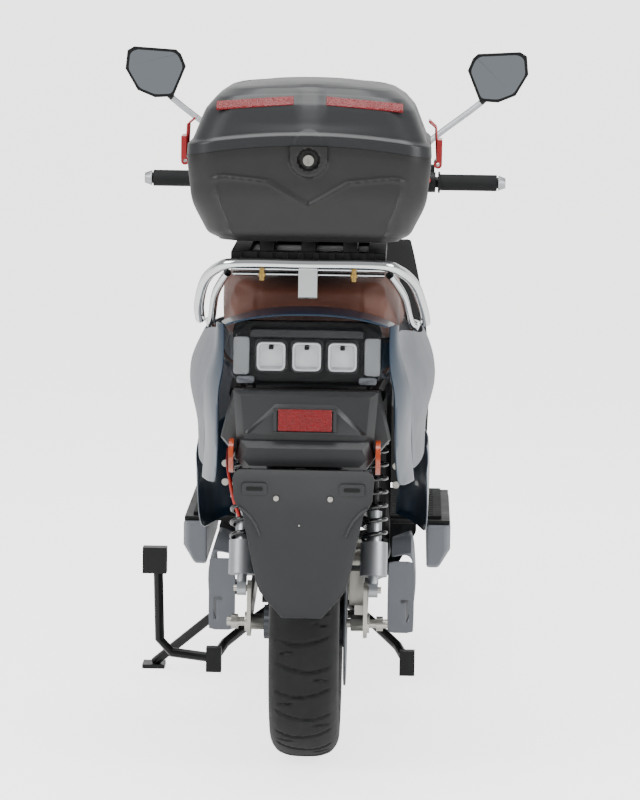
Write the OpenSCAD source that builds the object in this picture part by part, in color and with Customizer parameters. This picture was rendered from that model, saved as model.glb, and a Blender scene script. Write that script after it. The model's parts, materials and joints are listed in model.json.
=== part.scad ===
// Electric moped scooter: body, frame, fork, wheels, stands, seat, rack and top case.
// +X is the rider's right, +Y is forward, +Z is up and the ground is at z = 0.

/* [Wheels] */
// Distance between the two axles
wheelbase = 1330; // [1200:10:1600]
// Outer radius of the rear tyre
rear_tyre_r = 236; // [205:1:285]
// Width of the rear tyre
rear_tyre_w = 120; // [96:1:130]
// Outer radius of the front tyre
front_tyre_r = 229; // [200:1:275]
// Width of the front tyre
front_tyre_w = 110; // [90:1:126]
// Radius of the rim's bead seat, a 12 inch rim
rim_r = 152; // [130:1:165]
// Width of the flat running band of both tyres
tread_flat = 44; // [20:1:60]

/* [Suspension] */
// Upward travel of the rear axle
rear_travel = 60; // [40:1:75]
// Length of the swingarm from pivot to axle
swingarm_l = 430; // [400:1:480]
// Half the distance between the two rear shocks
shock_x = 116; // [108:1:126]
// Outer diameter of the shock springs
shock_coil_d = 48; // [40:1:52]
// Travel of the fork legs
fork_travel = 60; // [40:1:75]
// Distance between the two fork legs
fork_track = 164; // [156:1:190]

/* [Steering] */
// Angle of the steering axis from the vertical
head_angle = 26; // [24:0.5:28]
// Distance of the front axle ahead of the steering axis
fork_offset = 35; // [25:1:45]
// Height of the grips' centre line
grip_z = 953; // [900:1:1050]
// Width of the handlebar between the outer ends of the grips
bar_w = 680; // [560:1:820]
// Overall width across the mirrors
mirror_w = 794; // [720:1:950]
// Height of the mirrors' upper corners
mirror_top = 1211; // [1140:1:1330]

/* [Body] */
// Greatest width across the silver side panels
body_w = 444; // [400:1:530]
// Wall thickness of the body panels
panel_t = 3; // [2:0.5:4]
// Height of the step-through floor
floor_z = 325; // [315:1:390]
// Height of the rider's seat
seat_z = 800; // [780:1:860]
// Width of the seat at its widest
seat_w = 330; // [270:1:345]
// Width of the clear tail lens
lens_w = 266; // [220:1:290]
// Height of the clear tail lens
lens_h = 115; // [96:1:120]
// Width of the number plate bracket
bracket_w = 244; // [200:1:290]

/* [Top case] */
// Width of the case's rim
case_w = 406; // [340:1:490]
// Length of the case from front to back
case_l = 400; // [330:1:480]
// Height of the case's lower shell
case_h = 160; // [135:1:195]
// Height of the lid's dome above its rim
lid_h = 104; // [85:1:125]
// Wall thickness of the case
case_t = 3; // [2.5:0.5:4]

/* [Hidden] */
$fn = 32;
gap = 0.6;                 // clearance between pieces that move past each other
fit = 0.05;                // radial running clearance of a pin in its bore

// Rear running gear
rear_axle_z = rear_tyre_r;
pivot_y = swingarm_l;
pivot_z = rear_axle_z + 54;
arm_x = 99;                // inner face of the swingarm's plates
arm_t = 7;
axle_r = 8;
lower_eye = [-10, rear_axle_z + 62];
upper_eye = [80, rear_axle_z + 364];
eye_r = 13;
stud_r = 6;
rotor_r = 110;
rotor_x = 68;

// Tail heights all follow the highest point that the rear wheel reaches
tail_z = 2 * rear_tyre_r + rear_travel + 31;
seat_top = max(seat_z, tail_z + 237);  // the seat also clears the frame's rails
rack_z = tail_z + 337;
case_z = rack_z + 34;
rim_z = case_z + case_h;
case_y0 = -300;            // back of the case
case_y1 = case_y0 + case_l;

// Front running gear, in a frame whose z axis is the steering axis
front_axle_z = front_tyre_r;
steer_y = wheelbase - fork_offset * cos(head_angle);
steer_z = front_axle_z - fork_offset * sin(head_angle);
leg_x = fork_track / 2;
leg_r = 15;
slider_r = 22;
crown_s = front_tyre_r + fork_travel + 42;
crown_h = 26;
head_s = crown_s + crown_h + 8;
head_l = 195;
head_r = 27;
stem_r = 15;
clamp_s = (grip_z - steer_z) / cos(head_angle) - 55;
grip_y = steer_y - (grip_z - steer_z) * tan(head_angle) - 88;
bar_r = 11;
grip_r = 16;
grip_l = 118;

// Whole machine, from the plate bracket's lip to the front tyre
rear_y = -350;
mid_y = (wheelbase + front_tyre_r + rear_y) / 2;

// ---------------------------------------------------------------- helpers

function unit(v) = v / max(norm(v), 0.000001);

function last(list) = list[len(list) - 1];

// Points of a smooth curve through a list of points, k steps to each span
function curve(p, k = 4) = concat(
    [for (i = [0 : len(p) - 2]) for (s = [0 : k - 1])
        let (t = s / k, a = p[max(i - 1, 0)], b = p[i], c = p[i + 1],
            d = p[min(i + 2, len(p) - 1)])
        0.5 * (2 * b + (c - a) * t + (2 * a - 5 * b + 4 * c - d) * t * t
            + (3 * b - a - 3 * c + d) * t * t * t)],
    [last(p)]);

// Side direction of a swept ring, carried along the path without twisting
function side_of(tangent, side) = unit(side - (side * tangent) * tangent);

function path_sides(path, i, side) =
    i == len(path) ? [] :
    let (t = unit(path[min(i + 1, len(path) - 1)] - path[max(i - 1, 0)]), s = side_of(t, side))
    concat([[t, s]], path_sides(path, i + 1, s));

// Round bar or hose of radius r swept along a path
module bar_along(path, r, n = 10) {
    first = unit(path[1] - path[0]);
    start = abs(first[0]) < 0.8 ? [1, 0, 0] : [0, 1, 0];
    frames = path_sides(path, 0, start);
    points = [for (i = [0 : len(path) - 1]) for (a = [0 : n - 1])
        let (t = frames[i][0], s = frames[i][1], u = cross(t, s), w = 360 * a / n)
        path[i] + r * (cos(w) * s + sin(w) * u)];
    ends = len(path) * n;
    faces = concat(
        [for (i = [0 : len(path) - 2]) for (a = [0 : n - 1])
            let (b = (a + 1) % n)
            [i * n + a, (i + 1) * n + a, (i + 1) * n + b, i * n + b]],
        [[for (a = [0 : n - 1]) a]],
        [[for (a = [0 : n - 1]) ends - 1 - a]]);
    polyhedron(points, faces);
}

// Solid through a list of rings, all with the same number of points
module loft(rings) {
    n = len(rings[0]);
    points = [for (r = rings) each r];
    ends = len(points);
    faces = concat(
        [for (i = [0 : len(rings) - 2]) for (a = [0 : n - 1])
            let (b = (a + 1) % n, p = i * n)
            each [[p + a, p + n + b, p + n + a], [p + a, p + b, p + n + b]]],
        [[for (a = [1 : n]) n - a]],
        [[for (a = [0 : n - 1]) ends - n + a]]);
    polyhedron(points, faces);
}

// Thin panel of constant wall under a grid of points; its outside faces along
// (direction of the rows) x (direction of the columns)
module skin(grid, wall) {
    n = len(grid);
    m = len(grid[0]);
    inner = [for (i = [0 : n - 1]) [for (j = [0 : m - 1])
        let (a = grid[min(i + 1, n - 1)][j] - grid[max(i - 1, 0)][j],
            b = grid[i][min(j + 1, m - 1)] - grid[i][max(j - 1, 0)])
        grid[i][j] - wall * unit(cross(a, b))]];
    k = n * m;
    points = concat([for (r = grid) each r], [for (r = inner) each r]);
    faces = concat(
        [for (i = [0 : n - 2]) for (j = [0 : m - 2])
            let (a = i * m + j, b = a + 1, c = a + m, d = c + 1)
            each [[a, b, d], [a, d, c], [k + a, k + d, k + b], [k + a, k + c, k + d]]],
        [for (i = [0 : n - 2]) each
            let (a = i * m, c = a + m) [[a, c, k + c], [a, k + c, k + a]]],
        [for (i = [0 : n - 2]) each
            let (a = i * m + m - 1, c = a + m) [[a, k + c, c], [a, k + a, k + c]]],
        [for (j = [0 : m - 2]) each
            let (a = j, b = j + 1) [[a, k + b, b], [a, k + a, k + b]]],
        [for (j = [0 : m - 2]) each
            let (a = (n - 1) * m + j, b = a + 1) [[a, b, k + b], [a, k + b, k + a]]]);
    polyhedron(points, faces);
}

// Ring of a rounded rectangle in the plane x-z at depth y
function round_ring(y, half_w, z0, z1, r, n = 5) =
    [for (q = [0 : 3]) for (s = [0 : n])
        let (a = 90 * q + 90 * s / n,
            cx = (q == 0 || q == 3) ? half_w - r : r - half_w,
            cz = (q < 2) ? z1 - r : z0 + r)
        [cx + r * cos(a), y, cz + r * sin(a)]];

// Ring of a rounded rectangle in the plane x-y at height z
function flat_ring(z, half_w, y0, y1, r, n = 5) =
    let (ring = round_ring(0, half_w, y0, y1, r, n), k = len(ring))
    [for (i = [1 : k]) [ring[k - i][0], ring[k - i][2], z]];

// Cylinder along X, centred on x, at y and z
module rod_x(x, y, z, r, l) {
    translate([x - l / 2, y, z]) rotate([0, 90, 0]) cylinder(r = r, h = l);
}

// Both sides of the machine
module both_sides() {
    children();
    mirror([1, 0, 0]) children();
}

// Places children in the frame of the steering axis, y forward of it
module at_steering() {
    translate([0, steer_y, steer_z]) rotate([head_angle, 0, 0]) children();
}

function from_steering(p) = [p[0],
    steer_y + p[1] * cos(head_angle) - p[2] * sin(head_angle),
    steer_z + p[1] * sin(head_angle) + p[2] * cos(head_angle)];

// ---------------------------------------------------------------- wheels

// Half of a tyre's profile as [radius, x] points, bead to crown
function tyre_half(r, w) = [
    [rim_r + 0.5, w * 0.36], [rim_r + 12, w * 0.42], [rim_r + (r - rim_r) * 0.45, w * 0.5],
    [rim_r + (r - rim_r) * 0.68, w * 0.485], [r - 11, w * 0.40], [r - 4, w * 0.29],
    [r, tread_flat / 2]];

function mirrored(half) = [for (i = [1 : len(half)]) [half[len(half) - i][0],
    -half[len(half) - i][1]]];

module tyre(r, w) {
    wall = 7;
    outer = concat(tyre_half(r, w), mirrored(tyre_half(r, w)));
    inner = [[rim_r + 0.5, -w * 0.36 + wall], [rim_r + 14, -w * 0.42 + wall],
        [r - 22, -w * 0.38], [r - 12, 0], [r - 22, w * 0.38],
        [rim_r + 14, w * 0.42 - wall], [rim_r + 0.5, w * 0.36 - wall]];
    rotate([0, 90, 0]) rotate_extrude($fn = 72) polygon(concat(outer, inner));
}

module rear_tyre() {
    color("#26272a") translate([0, 0, rear_axle_z]) tyre(rear_tyre_r, rear_tyre_w);
}

module front_tyre() {
    color("#26272a") translate([0, wheelbase, front_axle_z]) tyre(front_tyre_r, front_tyre_w);
}

// Rim barrel with its two flanges, profile [radius, x]
module rim_barrel(w) {
    rotate([0, 90, 0]) rotate_extrude($fn = 72) polygon([
        [rim_r, -w * 0.36], [rim_r + 9, -w * 0.36 - 3], [rim_r + 9, -w * 0.36 - 7],
        [rim_r - 8, -w * 0.36 - 3], [rim_r - 14, -w * 0.2], [rim_r - 14, w * 0.2],
        [rim_r - 8, w * 0.36 + 3], [rim_r + 9, w * 0.36 + 7], [rim_r + 9, w * 0.36 + 3],
        [rim_r, w * 0.36]]);
}

// Motor in the rear hub: rim, drum, side covers and the brake rotor on the right
module hub_motor() {
    drum_r = 112;
    half = 42;
    color("#55585c") translate([0, 0, rear_axle_z]) {
        difference() {
            union() {
                rim_barrel(rear_tyre_w);
                rotate([0, 90, 0]) rotate_extrude($fn = 72) polygon([
                    [axle_r + 4, -rotor_x - 8], [30, -rotor_x - 8], [30, -half - 4],
                    [drum_r - 12, -half], [drum_r, -half + 8], [drum_r, -6], [rim_r - 13, -6],
                    [rim_r - 13, 6], [drum_r, 6], [drum_r, half - 8], [drum_r - 12, half],
                    [42, half + 4], [42, rotor_x - 2], [axle_r + 4, rotor_x - 2]]);
                translate([rotor_x - 2, 0, 0]) rotate([0, 90, 0])
                    cylinder(r = rotor_r, h = 4, $fn = 64);
            }
            rod_x(0, 0, 0, axle_r + 4, 200);
            for (a = [0 : 30 : 330]) rotate([a, 0, 0])
                translate([rotor_x, 0, 88]) rotate([0, 90, 0])
                    cylinder(r = 5, h = 8, center = true);
            for (a = [0 : 60 : 300]) rotate([a, 0, 0])
                translate([rotor_x, 0, 62]) rotate([0, 90, 0])
                    cylinder(r = 9, h = 8, center = true);
        }
    }
}

module front_rim() {
    hub_r = 24;
    disc_x = -60;
    color("#8d9094") translate([0, wheelbase, front_axle_z]) difference() {
        union() {
            rim_barrel(front_tyre_w);
            rod_x(0, 0, 0, hub_r, 96);
            for (a = [0 : 72 : 288]) rotate([a + 18, 0, 0])
                translate([-13, -9, hub_r - 4]) cube([26, 18, rim_r - hub_r - 6]);
            translate([disc_x, 0, 0]) rotate([0, 90, 0]) cylinder(r = 95, h = 4, $fn = 64);
            rod_x(-52, 0, 0, 36, 12);
        }
        rod_x(0, 0, 0, axle_r + fit, 200);
        for (a = [0 : 30 : 330]) rotate([a, 0, 0]) translate([disc_x + 2, 0, 76])
            rotate([0, 90, 0]) cylinder(r = 5, h = 10, center = true);
        for (a = [0 : 60 : 300]) rotate([a, 0, 0]) translate([disc_x + 2, 0, 52])
            rotate([0, 90, 0]) cylinder(r = 9, h = 10, center = true);
    }
}

// ---------------------------------------------------------------- rear suspension

// One arm's plate from the pivot to the axle, with the shock's lower stud
module arm_plate() {
    hull() {
        rod_x(arm_x + arm_t / 2, pivot_y, pivot_z, 26, arm_t);
        rod_x(arm_x + arm_t / 2, 60, rear_axle_z + 12, 22, arm_t);
    }
    hull() {
        rod_x(arm_x + arm_t / 2, 60, rear_axle_z + 12, 22, arm_t);
        rod_x(arm_x + arm_t / 2, 0, rear_axle_z, 26, arm_t);
    }
    hull() {
        rod_x(arm_x + arm_t / 2, 0, rear_axle_z, 26, arm_t);
        rod_x(arm_x + arm_t / 2, lower_eye[0], lower_eye[1], 14, arm_t);
    }
}

// Swingarm with the fixed rear axle, its nuts and the brake caliper
module swingarm() {
    color("#b9bbbe") difference() {
        union() {
            both_sides() {
                arm_plate();
                rod_x((arm_x + shock_x + 14) / 2, lower_eye[0], lower_eye[1], stud_r,
                    shock_x + 14 - arm_x);
                rod_x(arm_x + arm_t + 22, 0, rear_axle_z, 13, 12);
                rod_x(arm_x + arm_t + 1, 0, rear_axle_z, 17, 6);
                rod_x((arm_x + rotor_x + 9) / 2, 0, rear_axle_z, 14, arm_x - rotor_x - 9);
            }
            rod_x(0, 0, rear_axle_z, axle_r, 284);
            rod_x(0, pivot_y - 60, pivot_z - 6, 21, 2 * arm_x);
            rod_x(0, pivot_y, pivot_z, 24, 2 * arm_x + 2 * arm_t);
            caliper();
        }
        rod_x(0, pivot_y, pivot_z, 10 + fit, 400);
    }
}

// Brake caliper straddling the rotor's front edge, bolted to the right arm
module caliper() {
    difference() {
        union() {
            translate([rotor_x - 12, 62, rear_axle_z + 20]) cube([arm_x - rotor_x + 12, 58, 62]);
            translate([rotor_x + 14, 96, rear_axle_z - 4]) cube([arm_x - rotor_x - 14, 26, 30]);
        }
        rod_x(rotor_x, 0, rear_axle_z, rotor_r + 3, 10);
    }
}

shock_l = norm(upper_eye - lower_eye);
shock_lean = atan2(upper_eye[0] - lower_eye[0], upper_eye[1] - lower_eye[1]);
rod_r = 6;
spring_wire = 4;           // radius of the spring's wire
body_r = min(13, shock_coil_d / 2 - 2 * spring_wire - 2);
cup_z0 = 24;               // lower cup above the lower eye
cup_z1 = 84;
coil_z1 = shock_l - 48;    // upper end of the spring

// Frame of the left or right shock, its z axis from the lower to the upper eye
module at_shock() {
    translate([shock_x, lower_eye[0], lower_eye[1]]) rotate([-shock_lean, 0, 0]) children();
}

// Lower eye, damper body and the cup that carries the spring
module shock_bodies() {
    color("#c6c8ca") both_sides() difference() {
        union() {
            rod_x(shock_x, lower_eye[0], lower_eye[1], eye_r, 16);
            at_shock() {
                translate([0, 0, eye_r - 3]) cylinder(r = 9, h = cup_z1 - eye_r);
                translate([0, 0, cup_z0]) cylinder(r = shock_coil_d / 2, h = cup_z1 - cup_z0);
                translate([0, 0, cup_z1 - 4]) cylinder(r = body_r, h = 60);
            }
        }
        rod_x(shock_x, lower_eye[0], lower_eye[1], stud_r + gap, 40);
        at_shock() translate([0, 0, eye_r + 20]) cylinder(r = rod_r + fit, h = 140);
    }
}

// Upper eye, the plate above the spring and the piston rod
module shock_rods() {
    color("#2c2d30") both_sides() difference() {
        union() {
            rod_x(shock_x, upper_eye[0], upper_eye[1], eye_r, 16);
            at_shock() {
                translate([0, 0, coil_z1 + gap]) cylinder(r = shock_coil_d / 2 - 2, h = 7);
                translate([0, 0, coil_z1 + 2]) cylinder(r = 12, h = shock_l - coil_z1 - 10);
                translate([0, 0, cup_z1 + 46]) cylinder(r = rod_r, h = coil_z1 - cup_z1 - 40);
            }
        }
        rod_x(shock_x, upper_eye[0], upper_eye[1], stud_r + gap, 40);
    }
}

// Coil springs between the cup and the upper plate
module shock_springs() {
    turns = 8;
    foot = cup_z1 + spring_wire + gap;
    head = coil_z1 - spring_wire - gap;
    radius = shock_coil_d / 2 - spring_wire;
    path = [for (i = [0 : turns * 12]) let (w = 30 * i)
        [radius * cos(w), radius * sin(w), foot + (head - foot) * i / (turns * 12)]];
    color("#1c1d1f") both_sides() at_shock() bar_along(path, spring_wire, 6);
}

// ---------------------------------------------------------------- frame

rail_r = 14;                // radius of the frame rails
rail_z = floor_z - 63;     // centre line of the rails under the floor
rail_x = 105;
rail_rear_x = 128;
seat_rail_z = tail_z + 87;
floor_y0 = 600;
floor_y1 = wheelbase - 300;
board_y1 = floor_y1 - 56;   // front edge of the floorboard, behind the down tube
down_y = steer_y - (head_s + 40) * sin(head_angle) - 38;

module head_tube() {
    color("#2b2c2e") at_steering() translate([0, 0, head_s]) difference() {
        cylinder(r = head_r, h = head_l);
        translate([0, 0, -1]) cylinder(r = stem_r + fit, h = head_l + 2);
    }
}

module down_tube() {
    top = from_steering([0, -head_r - 14, head_s + 60]);
    color("#2b2c2e") bar_along(curve([top, [0, down_y - 22, top[2] - 60],
        [0, floor_y1 - 20, floor_z + 60], [0, floor_y1 - 30, rail_z]]), 20, 12);
}

// One rail from the down tube along the floor and up under the seat
module rail() {
    bar_along(curve([[14, floor_y1 - 30, rail_z], [60, floor_y1 - 45, rail_z],
        [rail_x, floor_y1 - 120, rail_z], [rail_x, floor_y0, rail_z],
        [rail_rear_x, pivot_y + 60, rail_z + 10], [rail_rear_x, pivot_y + 5, pivot_z + 20],
        [rail_rear_x, pivot_y - 40, pivot_z + 120], [rail_rear_x, upper_eye[0] + 180, tail_z + 20],
        [rail_rear_x, upper_eye[0], seat_rail_z], [rail_rear_x - 10, -198, seat_rail_z + 18]]),
        rail_r, 10);
}

module rail_right() { color("#2b2c2e") rail(); }
module rail_left() { color("#2b2c2e") mirror([1, 0, 0]) rail(); }

// Cross tubes, the swingarm bolt, the upper shock studs and the stand's lug
module cross_tubes() {
    color("#2b2c2e") {
        for (y = [floor_y0 + 20, floor_y1 - 130]) rod_x(0, y, rail_z, 11, 2 * rail_x);
        rod_x(0, pivot_y, pivot_z, 10, 2 * rail_rear_x);
        rod_x(0, -180, seat_rail_z + 17, 10, 2 * rail_rear_x - 18);
        rod_x(0, upper_eye[0], seat_rail_z, 11, 2 * rail_rear_x);
        both_sides() {
            hull() {
                rod_x(arm_x + 2, upper_eye[0], seat_rail_z - 6, 14, 6);
                rod_x(arm_x + 2, upper_eye[0], upper_eye[1], 14, 6);
            }
            rod_x((arm_x + shock_x + 16) / 2, upper_eye[0], upper_eye[1], stud_r,
                shock_x + 16 - arm_x);
            stand_lug(stand_y, stand_z, 84, rail_z);
        }
        rod_x(0, stand_y, stand_z, stand_pin_r, 2 * 84 + 30);
        mirror([1, 0, 0]) stand_lug(side_y, side_z, 138, rail_z - 4);
        rod_x(-162, side_y, side_z, stand_pin_r, 44);
        rod_x(-122, side_y, rail_z - 4, 9, 40);
        rod_x(0, stand_y, rail_z, 11, 2 * rail_x);
    }
}

stand_y = 470;
stand_z = 185;
stand_pin_r = 7;
side_y = 560;
side_z = 190;

// Plate that hangs from the frame at x and carries a stand's pin
module stand_lug(y, z, x, top_z) {
    hull() {
        rod_x(x, y, z, 13, 7);
        rod_x(x, y, top_z, 13, 7);
    }
}

module battery_pack() {
    color("#3f4246") translate([-78, floor_y0 + 40, rail_z - 52])
        cube([156, floor_y1 - floor_y0 - 190, 100]);
}

module motor_controller() {
    fins = 7;
    color("#8a8d91") translate([-70, 300, tail_z + 20]) {
        cube([140, 150, 34]);
        for (i = [0 : fins - 1]) translate([6 + i * 21, 0, 33]) cube([4, 150, 12]);
    }
}

// ---------------------------------------------------------------- floor and lower body

floor_half = 258;
sill_x = 212;

module floorboard() {
    color("#2a2b2d") difference() {
        translate([-floor_half + 2, floor_y0, floor_z - 14])
            cube([2 * floor_half - 4, board_y1 - floor_y0, 8]);
        for (x = [-150, 150], y = [floor_y0 + 40, board_y1 - 30])
            translate([x, y, floor_z - 20]) cylinder(r = 3.2, h = 20);
    }
}

// Ribbed rubber mat on the floor
module floor_mat() {
    ribs = 12;
    pitch = (board_y1 - floor_y0 - 60) / ribs;
    color("#1d1e20") difference() {
        translate([-floor_half + 18, floor_y0 + 20, floor_z - 6])
            cube([2 * floor_half - 36, board_y1 - floor_y0 - 40, 6]);
        for (i = [0 : ribs - 1]) translate([-floor_half + 34, floor_y0 + 34 + i * pitch, floor_z - 2])
            cube([2 * floor_half - 68, 8, 6]);
    }
}

// Silver sills along both edges of the floor
module footboard_wings() {
    color("#b4b7ba") both_sides() loft([
        for (s = [[0, 0], [0.04, 1], [0.9, 1], [1, 0]])
            let (y = floor_y0 - 12 + s[0] * (floor_y1 - floor_y0), e = 8 * (1 - s[1]))
            [[sill_x, y, floor_z - 99 + e], [floor_half - 22, y, floor_z - 99 + e],
                [floor_half - e, y, floor_z - 62], [floor_half - e, y, floor_z - 14.6],
                [sill_x, y, floor_z - 14.6]]]);
}

module belly_pan() {
    half = 150;
    low = rail_z - 78;
    color("#232426") skin([for (s = [0 : 4])
        let (y = floor_y0 + 40 + s * (floor_y1 - floor_y0 - 70) / 4, rise = s == 4 ? 40 : 0)
        [[half + 40, y, rail_z + 30], [half, y, low + 30 + rise], [half - 30, y, low + rise],
            [30 - half, y, low + rise], [-half, y, low + 30 + rise],
            [-half - 40, y, rail_z + 30]]], panel_t);
}

// Silver covers low at the sides, behind the floor
module lower_covers() {
    out = 193;
    in = 140;
    y0 = 257;
    y1 = floor_y0 - 92;
    z1 = floor_z - 8;
    z0 = 153;
    color("#b4b7ba") both_sides() {
        skin([for (s = [[y0 + 6, 14], [y0 + 60, 2], [y0 + 150, 0], [y1 - 50, 12], [y1, 30]])
            [[out - 16 - s[1] / 2, s[0], z0 + s[1]], [out - s[1] / 3, s[0], z0 + 60],
                [out, s[0], z1 - 40], [out - 10, s[0], z1], [in + 6, s[0], z1 - s[1] / 2]]],
            panel_t);
        difference() {
            translate([in, y0, z0 + 14]) cube([out - in - 4, panel_t, z1 - z0 - 30]);
            translate([in + 24, y0 - 1, z0 + 70]) cube([16, 9, 6]);
            translate([in + 34, y0 - 1, z0 + 34]) cube([6, 9, 38]);
        }
    }
}

// ---------------------------------------------------------------- side panels and tail

// Half-width of the body at depth y, and how far it is drawn in at a height above tail_z
body_half = [[-262, 154], [-220, 166], [-150, 178], [-60, 203], [-10, 212], [130, 222],
    [300, 219], [430, 210], [540, 190], [630, 150]];
body_inset = [[-38, 18], [36, 16], [60, 8], [82, 0], [123, 1], [150, 10], [182, 30]];

function panel_x(y, z) = lookup(y, body_half) * body_w / 444
    - lookup(z, body_inset) * lookup(y, [[-220, 0.4], [-60, 1]]);

// Depth with the lower and upper edge of the silver panel above tail_z
panel_rows = [[-222, 186, 218], [-186, 138, 216], [-150, 87, 214], [-76, -38, 205],
    [-10, -38, 196], [130, -38, 176], [300, -38, 166], [430, -38, 160], [540, -34, 156],
    [630, -20, 150]];

module side_panels_silver() {
    color("#b9bcbf") both_sides() skin([for (r = panel_rows)
        [for (t = [0 : 7]) let (z = r[1] + t * (r[2] - r[1]) / 7)
            [panel_x(r[0], z), r[0], tail_z + z]]], panel_t);
}

// Panel through rows of depth, half-width, lower and upper edge above tail_z
module side_panel(rows, bulge) {
    skin([for (r = rows)
        let (x = r[1] * body_w / 444, z0 = tail_z + r[2], z1 = tail_z + r[3])
        [for (t = [0, 0.25, 0.5, 0.75, 1])
            [x - bulge * pow(1 - 2 * t, 2), r[0], z0 + t * (z1 - z0)]]], panel_t);
}

// Blue panels under the silver ones, down to the lower covers
module lower_side_panels() {
    rows = [[170, 210, -82, -36], [240, 214, -150, -38], [330, 214, -220, -38],
        [430, 208, -234, -38], [540, 190, -234, -34], [600, 156, -232, -20]];
    color("#1d3240") {
        both_sides() side_panel(rows, 3);
        skin([for (z = [floor_z + 2 : 62 : seat_top - 100])
            [for (t = [-1, -0.7, -0.3, 0.3, 0.7, 1])
                [136 * t, floor_y0 + 34 - 26 * t * t - (z - floor_z) * 0.02, z]]], panel_t);
    }
}

// Blue cowl closing the tail above the lamp and down both sides of it
module tail_cowl() {
    rows = [[-268, 135, 245, 252], [-230, 142, 243, 255], [-184, 148, 240, 257]];
    // Height above tail_z, inner x and depth beside the lamp, gap to the silver edge
    strip = [[232, 138, -258, 0], [193, 138, -258, 1], [150, 139, -256, 1], [122, 147, -238, 1],
        [87, 148, -228, 1], [20, 149, -206, 1], [-38, 152, -168, 1], [-58, 158, -134, 0]];
    function silver_y(z) = lookup(z, [[-58, -66], [-38, -76], [87, -150], [186, -222], [232, -222]]);
    color("#1b2f3d") {
        skin([for (r = rows) [for (t = [-1, -0.8, -0.4, 0, 0.4, 0.8, 1])
            [-r[1] * t, r[0], tail_z + r[3] - (r[3] - r[2] + 12) * pow(abs(t), 3)]]], panel_t);
        both_sides() skin([for (p = strip)
            let (y = silver_y(p[0]) - 4, x = panel_x(y, p[0]) - 1)
            [[x, y, tail_z + p[0]], [(x + p[1]) / 2 + 3, (y + p[2]) / 2 - 3, tail_z + p[0]],
                [p[1], p[2], tail_z + p[0]]]], panel_t);
    }
}

// ---------------------------------------------------------------- tail lamp and plate

lens_z0 = tail_z + 126;
cup = 48;
cup_pitch = 60;

module tail_light_housing() {
    color("#3a3c40") loft([for (s = [[-234, 0], [-212, 0], [-190, 26]])
        round_ring(s[0], lens_w / 2 - 8 - s[1], lens_z0 + 6 + s[1] / 2,
            lens_z0 + lens_h - 6 - s[1], 16, 3)]);
}

// Three square bright cups in a row
module tail_light_reflectors() {
    color("#e6e8ea") for (i = [-1 : 1]) translate([i * cup_pitch, 0, lens_z0 + 54]) difference() {
        translate([-cup / 2, -250, -cup / 2]) cube([cup, 15.8, cup]);
        translate([-cup / 2 + 4, -251, -cup / 2 + 4]) cube([cup - 8, 8, cup - 8]);
    }
}

// Clear lens with chamfered corners, turned back round its edge
module tail_light_lens() {
    rows = [[0, 50, 18], [0.03, 46, 8], [0.15, 0, 0], [0.5, 0, 0], [0.74, 0, 0], [0.96, 38, 8],
        [1, 43, 18]];
    color("#dfe5ea") skin([for (r = rows)
        [for (u = [-1, -0.94, -0.5, 0, 0.5, 0.94, 1])
            [(lens_w / 2 - r[1]) * u, -262 + max(r[2], abs(u) == 1 ? 18 : 0) + 6 * u * u,
                lens_z0 + lens_h * r[0]]]], panel_t);
}

// Dark shelf under the lamp with a raised boss for the reflector
module plate_shelf() {
    color("#3b3d41") {
        loft([for (s = [[-286, 14], [-272, 0], [-244, 0]])
            [[112 - s[1], s[0], tail_z + 2], [116 - s[1], s[0], tail_z + 46],
                [122 - s[1], s[0], tail_z + 122 - s[1] / 2],
                [s[1] - 122, s[0], tail_z + 122 - s[1] / 2], [s[1] - 116, s[0], tail_z + 46],
                [s[1] - 112, s[0], tail_z + 2]]]);
        loft([for (s = [[-249, 5], [-240, 0], [-214, 16]])
            [[108 - s[1], s[0], tail_z - 6], [144 - s[1], s[0], tail_z + 38],
                [125 - s[1], s[0], tail_z + 118], [s[1] - 125, s[0], tail_z + 118],
                [s[1] - 144, s[0], tail_z + 38], [s[1] - 108, s[0], tail_z - 6]]]);
        loft([for (s = [[-302, 14], [-292, 3], [-262, 0]])
            [[106 - s[1], s[0], tail_z - 8 + s[1] / 2], [118.5 - s[1], s[0], tail_z + 12],
                [110 - s[1], s[0], tail_z + 43 - s[1]], [s[1] - 110, s[0], tail_z + 43 - s[1]],
                [s[1] - 118.5, s[0], tail_z + 12], [s[1] - 106, s[0], tail_z - 8 + s[1] / 2]]]);
        loft([for (s = [[-294.2, 12], [-284, 0]])
            [[105 - s[1], s[0], tail_z + 52], [50, s[0], tail_z + 104 - s[1]],
                [-50, s[0], tail_z + 104 - s[1]], [s[1] - 105, s[0], tail_z + 52]]]);
    }
}

module rear_reflector() {
    color("#b3161c") translate([-45, -301, tail_z + 58]) cube([90, 6, 37]);
}

// Round amber reflectors facing out to the sides
module side_reflectors() {
    color("#d4641b") both_sides() rod_x(123, -281, tail_z + 13, 29, 8);
}

slot_x = 81;
slot_l = 28;
slot_r = 3;
slot_z = tail_z - 32;

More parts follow.
